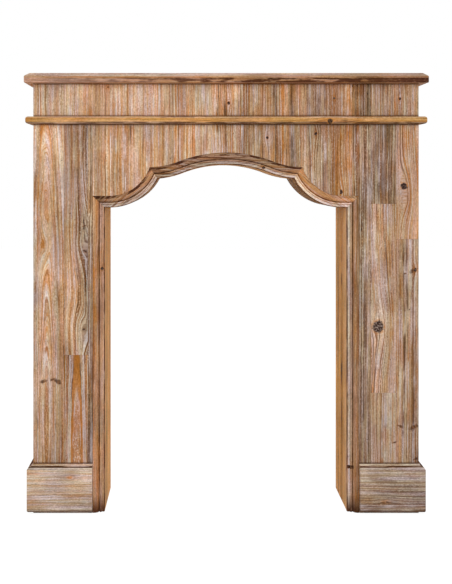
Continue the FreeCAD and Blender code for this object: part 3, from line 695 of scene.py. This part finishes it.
# The height of each joint, the way its darkening spreads and how far it reaches. Under the shelf and
# the bead the darkening is painted shade, at the other joints it is dirt.
FACE_JOINTS = [(shelf_bottom, DOWN, 0.005), (bead_top, UP, 0.007), (bead_bottom, DOWN, 0.005),
               (plinth_top, UP, 0.006), (plinth_foot, UP, 0.009)]
TRIM_JOINTS = [(0.0, UP, 0.05)]
face_fir = make_wood("limed_face_fir", "fir_face", rings=0.9, lime=0.9, dirt=0.9, joints=FACE_JOINTS)
trim_fir = make_wood("waxed_trim_fir", "fir_trim", rings=0.8, lime=0.35, dirt=0.75, changes=TRIM_COLOURS,
                     joints=TRIM_JOINTS)
oiled_fir = make_wood("oiled_fir", "fir_trim", rings=0.9, lime=0.15, dirt=0.9, changes=OILED_COLOURS)
frame_fir = make_wood("raw_frame_fir", "fir_frame", rings=0.6, lime=0.15, dirt=0.3, changes=FRAME_COLOURS)

# %% [markdown]
# ## From a CAD board to glued staves
# A wide board of old fir is never one plank: it is glued from staves about 60 mm wide, some of them joined
# end to end. Each piece here starts as a copy of its CAD board. The copy is merged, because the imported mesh
# is loose triangles, then sawn at the glue lines with bisect_plane. Every sharp edge is softened with a
# small bevel, so that glue lines show as fine grooves and arrises catch light. Modelling the staves from
# new boxes would risk leaving the board's true outline.

# %% Helpers: copy, saw, soften
FLAT_ANGLE = math.radians(0.5)
SHARP_ANGLE = math.radians(28)
SHORT_EDGE = 0.0018
SAW_TOLERANCE = 1e-6
SOFT_SEGMENTS = 2


def board_copy(node):
    """A merged copy of a CAD board, with its flat faces made whole."""
    bm = bmesh.new()
    bm.from_mesh(nodes[node].data)
    bmesh.ops.remove_doubles(bm, verts=bm.verts[:], dist=MERGE_DISTANCE)
    bmesh.ops.dissolve_limit(bm, angle_limit=FLAT_ANGLE, verts=bm.verts[:], edges=bm.edges[:])
    return bm


def saw(bm, faces, point, direction):
    """Saw the given faces' part of the mesh in two at a plane, and close both cuts."""
    edges = {edge for face in faces for edge in face.edges}
    verts = {vert for face in faces for vert in face.verts}
    cut = bmesh.ops.bisect_plane(bm, geom=[*verts, *edges, *faces], dist=SAW_TOLERANCE,
                                 plane_co=point, plane_no=direction)
    kerf = [item for item in cut["geom_cut"] if isinstance(item, bmesh.types.BMEdge)]
    bmesh.ops.split_edges(bm, edges=kerf)
    open_edges = [edge for edge in bm.edges if edge.is_boundary]
    bmesh.ops.holes_fill(bm, edges=open_edges, sides=0)


def round_edges(bm, edges, radius, segments):
    """Bevel the given edges, and return the new faces."""
    made = bmesh.ops.bevel(bm, geom=edges, offset=radius, offset_type="OFFSET", affect="EDGES",
                           segments=segments, profile=0.5, material=-1, clamp_overlap=True)
    return set(made["faces"])


def soften(bm, radius):
    """Round every sharp edge a little, and return the new faces."""
    sharp = [edge for edge in bm.edges
             if edge.is_manifold and edge.calc_face_angle() > SHARP_ANGLE and edge.calc_length() > SHORT_EDGE]
    arrises = round_edges(bm, sharp, radius, SOFT_SEGMENTS)
    bmesh.ops.recalc_face_normals(bm, faces=bm.faces[:])
    return arrises


def loose_parts(bm):
    """The separate parts of a mesh, each as a list of its vertices."""
    left = set(bm.verts)
    parts = []
    for start in bm.verts:
        if start not in left:
            continue
        left.remove(start)
        part = [start]
        for vert in part:
            found = [edge.other_vert(vert) for edge in vert.link_edges]
            fresh = [other for other in found if other in left]
            left.difference_update(fresh)
            part.extend(dict.fromkeys(fresh))
        parts.append(part)
    return parts


print("saw and bevel ready")

# %% [markdown]
# ## What a stave carries
# A stave is described as a joiner would choose it from the pile: how wide it is, whether its grain is
# straight or flamed, its tone, and where its knots sit. From that come the numbers that the fir group
# reads. A fixed seed keeps the choice the same on every run.

# %% Helpers: staves
Stave = namedtuple("Stave", "span reach growth bold tones drift wood")
LOW_END, HIGH_END = -10.0, 10.0
ENDLESS = (LOW_END, HIGH_END)
NOTHING = (0.0, 0.0, 0.0)
# How warm, how washed with lime and how dark a stave is
TONES = {
    "tan": (0.45, 0.40, 0.25),
    "honey": (0.70, 0.30, 0.25),
    "orange": (1.00, 0.35, 0.25),
    "pale": (0.30, 0.75, 0.15),
    "grey": (0.15, 0.50, 0.40),
    "brown": (0.45, 0.30, 0.65),
    "dark": (1.00, 0.00, 1.00),
    "sooty": (0.10, 0.30, 0.75),
    "ash": (-0.30, 0.60, 0.55),
    "chalk": (-0.30, 0.85, 0.20),
}
TONE_JITTER = 0.06
SIDE_PITH = (0.07, 0.14)
SIDE_PITH_DEPTH = (0.02, 0.06)
FLAME_SLOPE = (0.02, 0.045)
FLAME_DEPTH = (0.0, 0.03)
FLAME_SHIFT = (-0.01, 0.01)
RING_WIDTHS = {"straight": (0.0030, 0.0042), "flamed": (0.0050, 0.0080)}
SEEDS = (1.0, 9.0)
CHANCE_SEED = 1904
chance = random.Random(CHANCE_SEED)


def choose_pith(span, figure, middle):
    """Where a stave's pith lies: across, behind the face, and its slope along the grain."""
    centre = (span[0] + span[1]) / 2
    side = chance.choice((-1, 1))
    if figure == "straight":
        return (centre + side * chance.uniform(*SIDE_PITH), chance.uniform(*SIDE_PITH_DEPTH), 0.0)
    slope = side * chance.uniform(*FLAME_SLOPE)
    depth = chance.uniform(*FLAME_DEPTH)
    return (centre + chance.uniform(*FLAME_SHIFT), depth - slope * middle, slope)


def padded(spots, names):
    """As many spots as there are names, with blank ones after the given ones."""
    return [*spots, *[NOTHING] * len(names)][:len(names)]


def stave(span, reach=ENDLESS, figure="straight", tone="tan", darker=0.0, drift=0.0, bold=(0.3, 0.3),
          knots=(), marks=(), slivers=(), pith=None, ring=None):
    """A stave between two lines across the grain and, where it is jointed, two along it.

    Its tone is one name, or two where its two edges differ. Its shade starts darker than its tone by the
    given level and changes along the grain by the drift per metre. Its rings are as bold at its two edges
    as the two levels say. A knot, mark or sliver is given by its place across and along the grain and its
    size.
    """
    middle = 0.0 if reach == ENDLESS else (reach[0] + reach[1]) / 2
    drawn_pith = choose_pith(span, figure, middle)
    jitter = Vector([chance.uniform(-TONE_JITTER, TONE_JITTER) for level in range(3)])
    jitter += Vector((0, 0, darker))
    names = (tone, tone) if isinstance(tone, str) else tone
    tones = [Vector(TONES[name]) + jitter for name in names]
    drawn_ring = chance.uniform(*RING_WIDTHS[figure])
    growth = (ring or drawn_ring, chance.uniform(*SEEDS))
    wood = (pith or drawn_pith, *padded(knots, KNOT_NAMES), *padded(marks, MARK_NAMES),
            *padded(slivers, SLIVER_NAMES))
    return Stave(span, reach, growth, bold, tones, drift, wood)


def stave_at(staves, across, along):
    """The stave that a place lies in."""
    for each in staves:
        if each.span[0] <= across <= each.span[1] and each.reach[0] <= along <= each.reach[1]:
            return each
    raise ValueError("no stave at this place")


print("tones of wood:", ", ".join(TONES))

# %% [markdown]
# ## What a mesh carries
# The fir group reads everything from the mesh. Every point says where it lies in the grain, measured across
# it, behind the face and along it, and what its stave is like. Every corner of a face says how much dirt
# and lime settled there, how much shade and highlight are painted on it, and whether the edge is worn. So
# the wood is part of the board, and a sawn end shows the same rings as the face beside it.

# %% Helpers: wood on a mesh
Grain = namedtuple("Grain", "across deep along")
X, Y, Z = Vector((1, 0, 0)), Vector((0, 1, 0)), Vector((0, 0, 1))
UPRIGHT_FACE = Grain(X, Y, Z)
UPRIGHT_LEFT = Grain(Y, X, Z)
UPRIGHT_RIGHT = Grain(Y, -X, Z)
UPRIGHT_BACK = Grain(X, -Y, Z)
LYING_FACE = Grain(Z, Y, X)
LYING_TOP = Grain(Y, -Z, X)
LYING_LEFT = Grain(Z, X, Y)
LYING_RIGHT = Grain(Z, -X, Y)
BOARD_EASE = 0.0007
CLEAN = (0.0, 0.0)


def middle_of(part, direction):
    """The middle of a part, measured along a direction."""
    places = [vert.co.dot(direction) for vert in part]
    return (min(places) + max(places)) / 2


def faces_in_span(bm, grain, span):
    """The faces of the sawn parts that lie between two lines across the grain."""
    parts = [part for part in loose_parts(bm) if span[0] < middle_of(part, grain.across) < span[1]]
    return list({face for part in parts for vert in part for face in vert.link_faces})


def write_wood(bm, grain, staves):
    """Give every part of the mesh its place in the grain and its stave's wood."""
    names = ("grain_place", "tone", "growth", "pith", *KNOT_NAMES, *MARK_NAMES, *SLIVER_NAMES)
    layers = [bm.verts.layers.float_vector.new(name) for name in names]
    face_depth = min(vert.co.dot(grain.deep) for vert in bm.verts)
    for part in loose_parts(bm):
        chosen = stave_at(staves, middle_of(part, grain.across), middle_of(part, grain.along))
        edges = [vert.co.dot(grain.across) for vert in part]
        low, width = min(edges), max(edges) - min(edges)
        for vert in part:
            place = Vector([vert.co.dot(direction) for direction in grain])
            place.y -= face_depth
            side = (place.x - low) / width
            tone = chosen.tones[0].lerp(chosen.tones[1], side) + Vector((0, 0, chosen.drift * place.z))
            boldness = chosen.bold[0] + (chosen.bold[1] - chosen.bold[0]) * side
            for layer, value in zip(layers, (place, tone, (*chosen.growth, boldness), *chosen.wood)):
                vert[layer] = value


def plain_settling(normal, place):
    """A flat board gathers neither dirt nor lime in one place."""
    return CLEAN


def write_settling_and_shading(bm, arrises, settling):
    """Say on every face's corners where dirt, lime, painted shade and highlights lie, and which edges wore.

    The place is the face's middle, moved sideways to the corner, so a level can grow along a board.
    """
    layer = bm.loops.layers.float_vector.new("settle_and_shade")
    for face in bm.faces:
        place = face.calc_center_median()
        for loop in face.loops:
            place.x = loop.vert.co.x
            loop[layer] = (*settling(face.normal, place), 1.0 if face in arrises else 0.0)


print("wood on a mesh ready")

# %% [markdown]
# ## One piece for one board
# A piece is made in the order in which a joiner would work: the board is sawn into its staves, carved where
# it is carved or worn, eased at its edges and finished. It stays where the CAD board is and takes its place.

# %% Helpers: pieces
STAVE_WANDER = 0.15
FIGURES = ("straight", "straight", "flamed")


def score_level(bm, level):
    """Score the whole mesh at a height, without parting it."""
    bmesh.ops.bisect_plane(bm, geom=[*bm.verts, *bm.edges, *bm.faces], dist=SAW_TOLERANCE,
                           plane_co=Z * level, plane_no=Z)


def uncarved(bm):
    """Most boards are not carved."""


def make_piece(node, grain, staves, finish, softness=BOARD_EASE, settling=plain_settling, carving=uncarved):
    """A piece that stands for a CAD board: the same board, sawn, carved, softened and finished."""
    bm = board_copy(node)
    for line in sorted({each.span[1] for each in staves})[:-1]:
        saw(bm, bm.faces[:], grain.across * line, grain.across)
    for each in staves:
        if each.reach[1] < HIGH_END:
            saw(bm, faces_in_span(bm, grain, each.span), grain.along * each.reach[1], grain.along)
    carving(bm)
    arrises = soften(bm, softness)
    write_wood(bm, grain, staves)
    write_settling_and_shading(bm, arrises, settling)
    mesh = bpy.data.meshes.new(f"{node}_wood")
    bm.to_mesh(mesh)
    bm.free()
    mesh.materials.append(finish.material)
    piece = bpy.data.objects.new(f"{node}_wood", mesh)
    scene.collection.objects.link(piece)
    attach(piece, "root")
    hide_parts(node)
    print(f"{piece.name}: {len(staves)} staves, {len(mesh.polygons)} faces")


def across_box(node, grain):
    """The two ends of a board across its grain."""
    ends = [vert.co.dot(grain.across) for vert in nodes[node].data.vertices]
    return min(ends), max(ends)


def whole_board(node, grain, **choices):
    """One stave as wide as its board."""
    return [stave(across_box(node, grain), **choices)]


def even_staves(node, grain, tones, darker=0.0):
    """Staves of nearly even width, one for each tone."""
    low, high = across_box(node, grain)
    wander = (high - low) / len(tones) * STAVE_WANDER
    even_lines = [low + (high - low) * place / len(tones) for place in range(1, len(tones))]
    lines = [line + chance.uniform(-wander, wander) for line in even_lines]
    spans = zip([LOW_END, *lines], [*lines, HIGH_END])
    return [stave(span, tone=tone, darker=darker, figure=chance.choice(FIGURES))
            for span, tone in zip(spans, tones)]


print("piece helpers ready")

# %% [markdown]
# ## Legs
# The leg fronts carry the marks that a buyer would know this surround by: a long eye of grain on the outer
# left stave, a finger joint with an orange flame below it, and two large knots on the right leg. They are
# set where they are on the real one. The rest of the wood is drawn by chance.

# %% Leg fronts and outer sides
LEFT_FINGER_JOINT = 0.3935
RIGHT_FINGER_JOINT = 0.299
RIGHT_UPPER_JOINT = 0.770
RIGHT_OUTER_JOINT = 0.682
HEAD_JOINT = (bead_bottom + bead_top) / 2
LEFT_SPANS = ((LOW_END, -0.404), (-0.404, -0.344), (-0.344, HIGH_END))
RIGHT_SPANS = ((LOW_END, 0.361), (0.361, 0.424), (0.424, HIGH_END))
SIDE_TONES = ("tan", "honey", "grey")


def head_staves(spans, tones, **choices):
    """The short staves above the bead, one for each tone."""
    return [stave(span, (HEAD_JOINT, HIGH_END), tone=tone, **choices) for span, tone in zip(spans, tones)]


left_leg = [
    stave(LEFT_SPANS[0], (LOW_END, HEAD_JOINT), tone=("tan", "honey"), darker=0.3, drift=-0.8,
          bold=(0.5, 0.35), pith=(-0.447, -0.008, 0.04), ring=0.0010, knots=[(-0.4545, 0.6625, -0.006)],
          marks=[(-0.4555, 0.327, 0.011), (-0.431, 0.333, 0.007), (-0.418, 0.327, -0.012),
                 (-0.409, 0.878, 0.002)]),
    stave(LEFT_SPANS[1], (LEFT_FINGER_JOINT, HEAD_JOINT), tone=("honey", "sooty"), darker=-0.1,
          bold=(0.1, 2.2), pith=(-0.29, 0.01, 0.0), ring=0.0019,
          knots=[(-0.350, 0.456, -0.019), (-0.346, 0.665, -0.018)],
          marks=[(-0.353, 0.715, 0.006), (-0.351, 0.652, -0.007), (-0.347, 0.868, 0.003),
                 (-0.354, 0.458, 0.006)],
          slivers=[(-0.350, 0.575, 0.0032), (-0.3535, 0.7165, 0.0026)]),
    stave(LEFT_SPANS[1], (LOW_END, LEFT_FINGER_JOINT), tone="orange", darker=0.2, bold=(1.2, 1.2),
          pith=(-0.371, 0.0045, 0.025), ring=0.0085),
    stave(LEFT_SPANS[2], (LOW_END, HEAD_JOINT), tone="grey", darker=0.75, drift=-0.8,
          marks=[(-0.317, 0.855, 0.002)]),
    *head_staves(LEFT_SPANS, ("tan", "pale", "honey"), darker=0.1),
]
right_leg = [
    stave(RIGHT_SPANS[0], (LOW_END, HEAD_JOINT), tone="grey", darker=0.2,
          slivers=[(0.338, 0.717, 0.0024)]),
    stave(RIGHT_SPANS[1], (RIGHT_UPPER_JOINT, HEAD_JOINT), tone="grey", darker=0.45),
    stave(RIGHT_SPANS[1], (RIGHT_FINGER_JOINT, RIGHT_UPPER_JOINT), darker=0.25, bold=(0.5, 0.5),
          ring=0.0048, knots=[(0.379, 0.464, 0.0145)]),
    stave(RIGHT_SPANS[1], (LOW_END, RIGHT_FINGER_JOINT), tone="pale", darker=0.5,
          marks=[(0.421, 0.176, 0.006)]),
    stave(RIGHT_SPANS[2], (RIGHT_OUTER_JOINT, HEAD_JOINT), tone=("orange", "honey"), darker=0.25,
          bold=(0.5, 0.3), knots=[(0.443, 0.814, 0.0085), (0.446, 0.778, -0.007)]),
    stave(RIGHT_SPANS[2], (LOW_END, RIGHT_OUTER_JOINT), tone=("tan", "grey"), darker=0.35, drift=-0.3,
          knots=[(0.471, 0.605, 0.004)],
          marks=[(0.446, 0.596, 0.005), (0.468, 0.604, 0.012), (0.434, 0.216, -0.008),
                 (0.468, 0.214, 0.013), (0.472, 0.135, 0.008)],
          slivers=[(0.442, 0.637, 0.0022)]),
    *head_staves(RIGHT_SPANS, ("brown", "tan", "tan"), darker=0.35,
                 knots=[(0.433, 1.032, 0.0035)], slivers=[(0.352, 1.040, 0.0015)]),
]
make_piece("left_leg_front", UPRIGHT_FACE, left_leg, face_fir)
make_piece("right_leg_front", UPRIGHT_FACE, right_leg, face_fir)
for node, grain in (("left_outer_side", UPRIGHT_LEFT), ("right_outer_side", UPRIGHT_RIGHT)):
    make_piece(node, grain, even_staves(node, grain, SIDE_TONES), face_fir)

# %% [markdown]
# ## Header
# The header is glued from sixteen narrow upright staves, so its colour changes every few centimetres.
# Cutting the copy of the arched CAD panel keeps the arch exact on every stave.

# %% Header staves
# Width, tone and how much darker, from left to right. The darker levels grow towards the right partly
# as painted shade for light that falls from the left, and partly with the wood's own tone.
HEADER_STAVES = [
    (0.0493, "honey", 0.1), (0.030, "tan", 0.1), (0.060, "honey", 0.0), (0.024, "orange", 0.05),
    (0.0395, "tan", 0.05), (0.0535, "orange", 0.05), (0.041, "pale", 0.15), (0.069, "honey", 0.1),
    (0.035, "tan", 0.25), (0.0655, "tan", 0.3), (0.0195, "orange", 0.2), (0.047, "tan", 0.25),
    (0.060, "grey", 0.22), (0.023, "orange", 0.3), (0.030, "orange", 0.3), (0.0183, "brown", 0.1),
]
HEADER_KNOTS = [(0.0065, 1.021, 0.004), (0.103, 0.935, 0.0035), (0.224, 0.945, 0.004),
                (0.285, 0.800, 0.006), (0.270, 1.033, 0.003), (0.314, 1.063, 0.003), (-0.294, 1.061, 0.002)]


def header_staves():
    """The header's staves from left to right, each with the knots that lie in it."""
    made = []
    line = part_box("header_panel")[0].x
    for width, tone, darker in HEADER_STAVES:
        span = (line, line + width)
        knots = [spot for spot in HEADER_KNOTS if span[0] < spot[0] < span[1]]
        made.append(stave(span, tone=tone, darker=darker, knots=knots))
        line += width
    made[0] = made[0]._replace(span=(LOW_END, made[0].span[1]))
    made[-1] = made[-1]._replace(span=(made[-1].span[0], HIGH_END))
    return made


make_piece("header_panel", UPRIGHT_FACE, header_staves(), face_fir)

# %% [markdown]
# ## Shelf, bead and plinths
# These are single lengths with the grain along them. The shelf is three boards deep. Its front board
# darkens towards the right, partly as painted shade for light that falls from the left, and its edge has
# darkened more and more towards the right. Lime and a painted highlight lie on the chamfer above. The bead
# is the warmest piece on the whole surround; dirt and painted shade lie on its lower round, lime and a
# painted highlight on its top. The plinths have painted shade and dirt on their fillet and quirk, and lime
# and a painted highlight on their round. The lower edge of the plinths is worn round, so it gets a larger
# bevel than the other edges before they are softened.

# %% Settling on shelf, bead and plinths
FLAT_FACING = 0.9
DARK_EDGE_HEIGHT = 0.0125
SHELF_BAND = shelf_bottom + DARK_EDGE_HEIGHT
CHAMFER_FACING = (0.3, 0.95)
FRONT_FACING = -0.3
# Levels at the middle of the shelf, and their change per metre to the right
# The chamfer's lime also paints a highlight there, which fades towards the right
CHAMFER_LIME_AND_HIGHLIGHT = (0.65, -0.3)
EDGE_DARKENING = (0.68, 0.85)
EDGE_LIME = (0.1, -0.6)
# The bead's lower round gets dirt and painted shade, and its top gets lime and a painted highlight
BEAD_UNDERSIDE = -0.2
BEAD_TOP = 0.4
BEAD_SHADE_AND_DIRT = 0.55
BEAD_LIME_AND_HIGHLIGHT = 0.4
PLINTH_CAP_HEIGHT = 0.0115
PLINTH_SHOULDER = plinth_top - PLINTH_CAP_HEIGHT
FILLET_REACH = 0.0005
QUIRK_REACH = (0.0045, 0.0072)
# Painted shade with dirt on the plinth's fillet and quirk, lime with a painted highlight on its round
PLINTH_SHADE_AND_DIRT = 0.9
PLINTH_LIME_AND_HIGHLIGHT = 0.9
WORN_RADIUS = 0.0045
WORN_SEGMENTS = 3


def score_shelf(bm):
    """Score the shelf where its dark edge ends."""
    score_level(bm, SHELF_BAND)


def shelf_level(level, place):
    """A level that changes along the shelf."""
    return level[0] + level[1] * place.x


def shelf_settling_and_shading(normal, place):
    """Lime with a painted highlight lies on the chamfer; the edge's lower band darkens, most at the right."""
    if CHAMFER_FACING[0] < normal.z < CHAMFER_FACING[1]:
        return 0.0, shelf_level(CHAMFER_LIME_AND_HIGHLIGHT, place)
    if normal.y < FRONT_FACING and place.z < SHELF_BAND:
        return shelf_level(EDGE_DARKENING, place), shelf_level(EDGE_LIME, place)
    return CLEAN


def bead_settling_and_shading(normal, place):
    """Dirt, old lime and painted shade lie on the bead's lower round, and lime with a painted highlight on
    top.
    """
    if normal.z < BEAD_UNDERSIDE:
        return BEAD_SHADE_AND_DIRT, BEAD_LIME_AND_HIGHLIGHT
    if normal.z > BEAD_TOP:
        return 0.0, BEAD_LIME_AND_HIGHLIGHT
    return CLEAN


def plinth_settling_and_shading(normal, place):
    """Painted shade and dirt on a plinth's fillet and quirk, lime and a painted highlight on its round."""
    height = place.z - PLINTH_SHOULDER
    on_fillet = abs(height) < FILLET_REACH and normal.z > FLAT_FACING
    if on_fillet or QUIRK_REACH[0] < height < QUIRK_REACH[1]:
        return PLINTH_SHADE_AND_DIRT, 0.0
    if 0 < height < QUIRK_REACH[0]:
        return 0.0, PLINTH_LIME_AND_HIGHLIGHT
    return CLEAN


def worn_foot(outward):
    """Carving that rounds the lower edge of a plinth board on the side it shows."""
    def carving(bm):
        bm.normal_update()
        worn_edges = [edge for edge in bm.edges
                      if all(abs(vert.co.z - plinth_foot) < MERGE_DISTANCE for vert in edge.verts)
                      and any(face.normal.dot(outward) > FLAT_FACING for face in edge.link_faces)]
        round_edges(bm, worn_edges, WORN_RADIUS, WORN_SEGMENTS)
    return carving


print("settling on shelf, bead and plinths ready")

# %% Shelf, bead and plinths
TRIM_EASE = 0.0005
SHELF_LINES = (-0.035, 0.03)
# A hidden knot in each plinth, as a knot is given to a stave
LEFT_EYE = (0.093, -0.385, -0.003)
RIGHT_EYE = (0.032, 0.396, -0.003)

shelf = [
    # The front board darkens to the right, partly as painted shade for light that falls from the left
    stave((LOW_END, SHELF_LINES[0]), tone="orange", darker=0.12, drift=0.5, bold=(0.9, 0.9),
          pith=(-0.08, 0.12, 0.0)),
    stave(SHELF_LINES),
    stave((SHELF_LINES[1], HIGH_END), tone="brown"),
]
make_piece("mantel_shelf", LYING_TOP, shelf, trim_fir, TRIM_EASE, shelf_settling_and_shading, score_shelf)
bead = whole_board("bead_front", LYING_FACE, tone="honey", darker=0.35, drift=0.25,
                   knots=[(0.975, 0.257, 0.0065)])
make_piece("bead_front", LYING_FACE, bead, oiled_fir, TRIM_EASE, bead_settling_and_shading)
for name, grain, tone, darker, eye in (("left", LYING_LEFT, ("chalk", "pale"), -0.05, LEFT_EYE),
                                       ("right", LYING_RIGHT, ("ash", "chalk"), 0.12, RIGHT_EYE)):
    node = f"{name}_bead_return"
    make_piece(node, grain, whole_board(node, grain, tone="honey"), oiled_fir, TRIM_EASE, bead_settling_and_shading)
    for node, lay in ((f"{name}_plinth_front", LYING_FACE), (f"{name}_plinth_side", grain)):
        board = whole_board(node, lay, tone=tone, darker=darker, bold=(0.0, 0.0), ring=0.0018, knots=[eye])
        make_piece(node, lay, board, face_fir, TRIM_EASE, plinth_settling_and_shading, worn_foot(-lay.deep))

# %% [markdown]
# ## Moulding and lining of the opening
# The moulding is run in five lengths: two up the jambs, two round the scallops and one over the crown. Each
# curved length was sawn from a straight board, so its grain runs straight along the chord and not round the
# curve. Dirt and painted shade lie along the edge where the moulding meets the header and in the quirk, and
# lime on the flats beside it. The right length has lost a chip near its foot: three score lines, with the
# middle row of points pushed in, make that nick, and painted shade with dirt lies in it.

# %% Helpers: moulding
# How much painted shade and dirt lie along the edge and in the quirk, and how much lime on the fillet and lip
Levels = namedtuple("Levels", "edge_dirt quirk_dirt fillet_lime lip_lime")
MOULDING_EASE = 0.0003
SCALLOP_SLOPE = math.radians(38)
EDGE_DEPTH = 0.0013
FLAT_DEPTH = 0.0055
LIP_DEPTH = 0.0085
QUIRK_DEPTH = 0.0102
NICK_LEVEL = 0.112
NICK_HALF_WIDTH = 0.0042
NICK_DEPTH = 0.006
NICK_SHADE_AND_DIRT = 1.0


def sloping(side):
    """The grain of a scallop length, which rises from the jamb to the cusp."""
    along = Vector((-side * math.cos(SCALLOP_SLOPE), 0, math.sin(SCALLOP_SLOPE)))
    return Grain(along.cross(Y), Y, along)


def moulding_settling_and_shading(levels):
    """Painted shade and dirt along the edge and in the quirk of a moulding, and lime on its two flats."""
    def settling(normal, place):
        depth = place.y - face_y
        # Along the edge where it meets the header: a painted shadow line with dirt
        if depth < EDGE_DEPTH:
            return levels.edge_dirt, 0.0
        # In the nick: painted shade with dirt
        if depth > FLAT_DEPTH and abs(place.z - NICK_LEVEL) < NICK_HALF_WIDTH:
            return NICK_SHADE_AND_DIRT, 0.0
        # In the quirk: painted shade with dirt
        if depth > QUIRK_DEPTH:
            return levels.quirk_dirt, 0.0
        if depth > FLAT_DEPTH and normal.y < -FLAT_FACING:
            return 0.0, levels.fillet_lime if depth < LIP_DEPTH else levels.lip_lime
        # The ovolo darkens towards the quirk: painted shade where it turns away from the light, with dirt
        towards_quirk = max(0.0, depth - FLAT_DEPTH) / (QUIRK_DEPTH - FLAT_DEPTH)
        return towards_quirk ** 2 * levels.quirk_dirt, 0.0
    return settling


def nick_moulding(bm):
    """A small notch, knocked into the flats of the right length near its foot."""
    for level in (NICK_LEVEL - NICK_HALF_WIDTH, NICK_LEVEL, NICK_LEVEL + NICK_HALF_WIDTH):
        score_level(bm, level)
    for vert in bm.verts:
        on_flats = FLAT_DEPTH < vert.co.y - face_y < QUIRK_DEPTH
        if on_flats and abs(vert.co.z - NICK_LEVEL) < SAW_TOLERANCE:
            vert.co.y += NICK_DEPTH


def make_moulding(node, grain, levels, carving=uncarved, **choices):
    """A length of the moulding round the opening."""
    make_piece(node, grain, whole_board(node, grain, **choices), trim_fir, MOULDING_EASE,
               moulding_settling_and_shading(levels), carving)


def make_lining(node, tone):
    """A length of the soffit, whose grain runs from side to side."""
    make_piece(node, LYING_TOP, whole_board(node, LYING_TOP, tone=tone), oiled_fir, MOULDING_EASE)


print("moulding helpers ready")

# %% Moulding, jambs and soffits
# Side, grain, how much darker, and the tones of the staves from front to back
JAMBS = (
    ("left", UPRIGHT_RIGHT, -0.5, ("brown", "brown", "honey", "orange", "honey")),
    ("right", UPRIGHT_LEFT, -0.2, ("pale", "tan", "dark", "honey", "brown", "orange")),
)
make_moulding("left_jamb_moulding", UPRIGHT_FACE, Levels(0.0, 0.9, 0.2, 0.2), tone=("orange", "tan"),
              darker=0.1, knots=[(-0.309, 0.608, 0.004)])
make_moulding("right_jamb_moulding", UPRIGHT_FACE, Levels(0.3, 0.9, 0.4, 0.9), nick_moulding,
              tone=("pale", "brown"), darker=0.05)
make_moulding("crown_moulding", LYING_FACE, Levels(0.95, 0.95, 0.1, 0.9), tone=("brown", "sooty"),
              darker=-0.2, drift=-1.8, bold=(1.4, 1.4), knots=[(0.860, 0.094, 0.004)])
make_lining("crown_soffit", "honey")
make_moulding("left_scallop_moulding", sloping(-1), Levels(0.95, 0.9, 0.8, 0.9), tone=("honey", "brown"),
              darker=1.3, drift=-4.0)
make_moulding("right_scallop_moulding", sloping(1), Levels(0.3, 0.9, 0.8, 0.9), tone=("orange", "honey"),
              darker=-0.1)
for name, inward, darker, tones in JAMBS:
    make_lining(f"{name}_scallop_soffit", "dark")
    node = f"{name}_jamb"
    make_piece(node, inward, even_staves(node, inward, tones, darker), oiled_fir)

# %% [markdown]
# ## The hidden frame
# Behind the face are plain battens, spacers and a rear panel that nobody was meant to see. They are sawn
# fir, unwashed, and only their edges are eased.

# %% Inner boards
REAR_TONES = ("tan", "pale", "honey", "tan", "pale", "tan", "honey")


def make_inner(node, grain, tone):
    """A plain board of the hidden frame."""
    make_piece(node, grain, whole_board(node, grain, tone=tone), frame_fir)


for node, tone in (("back_rail", "pale"), ("tie_batten", "tan"), ("front_cleat", "tan")):
    make_inner(node, LYING_FACE, tone)
rear_staves = even_staves("rear_arch_panel", UPRIGHT_BACK, REAR_TONES)
make_piece("rear_arch_panel", UPRIGHT_BACK, rear_staves, frame_fir)
for name, grain in (("left", LYING_LEFT), ("right", LYING_RIGHT)):
    make_inner(f"{name}_cleat", grain, "tan")
    for level in ("foot", "middle", "top"):
        make_inner(f"{name}_{level}_spacer", LYING_TOP, "pale")

# %% [markdown]
# ## Screws
# Six zinc-plated screws hold the shelf from below. Their CAD shape is right, so the node stays and only
# gets a finish: pale metal with the cloudy spangle of plating.

# %% Zinc on the screws
SPANGLE_SCALE = (400.0, 400.0, 400.0)
zinc, wiring, shader = start_material("zinc_plate")
spangle = wiring.noise(wiring.coordinates(), SPANGLE_SCALE)
wiring.fill(shader, {"Base Color": wiring.mix(spangle, srgb(150, 152, 158), srgb(205, 206, 208)),
                     "Roughness": 0.25 + spangle * 0.25, "Metallic": 1.0})
screws = nodes["shelf_screws"]
screws.data.materials.clear()
screws.data.materials.append(zinc)
print("screws finished")
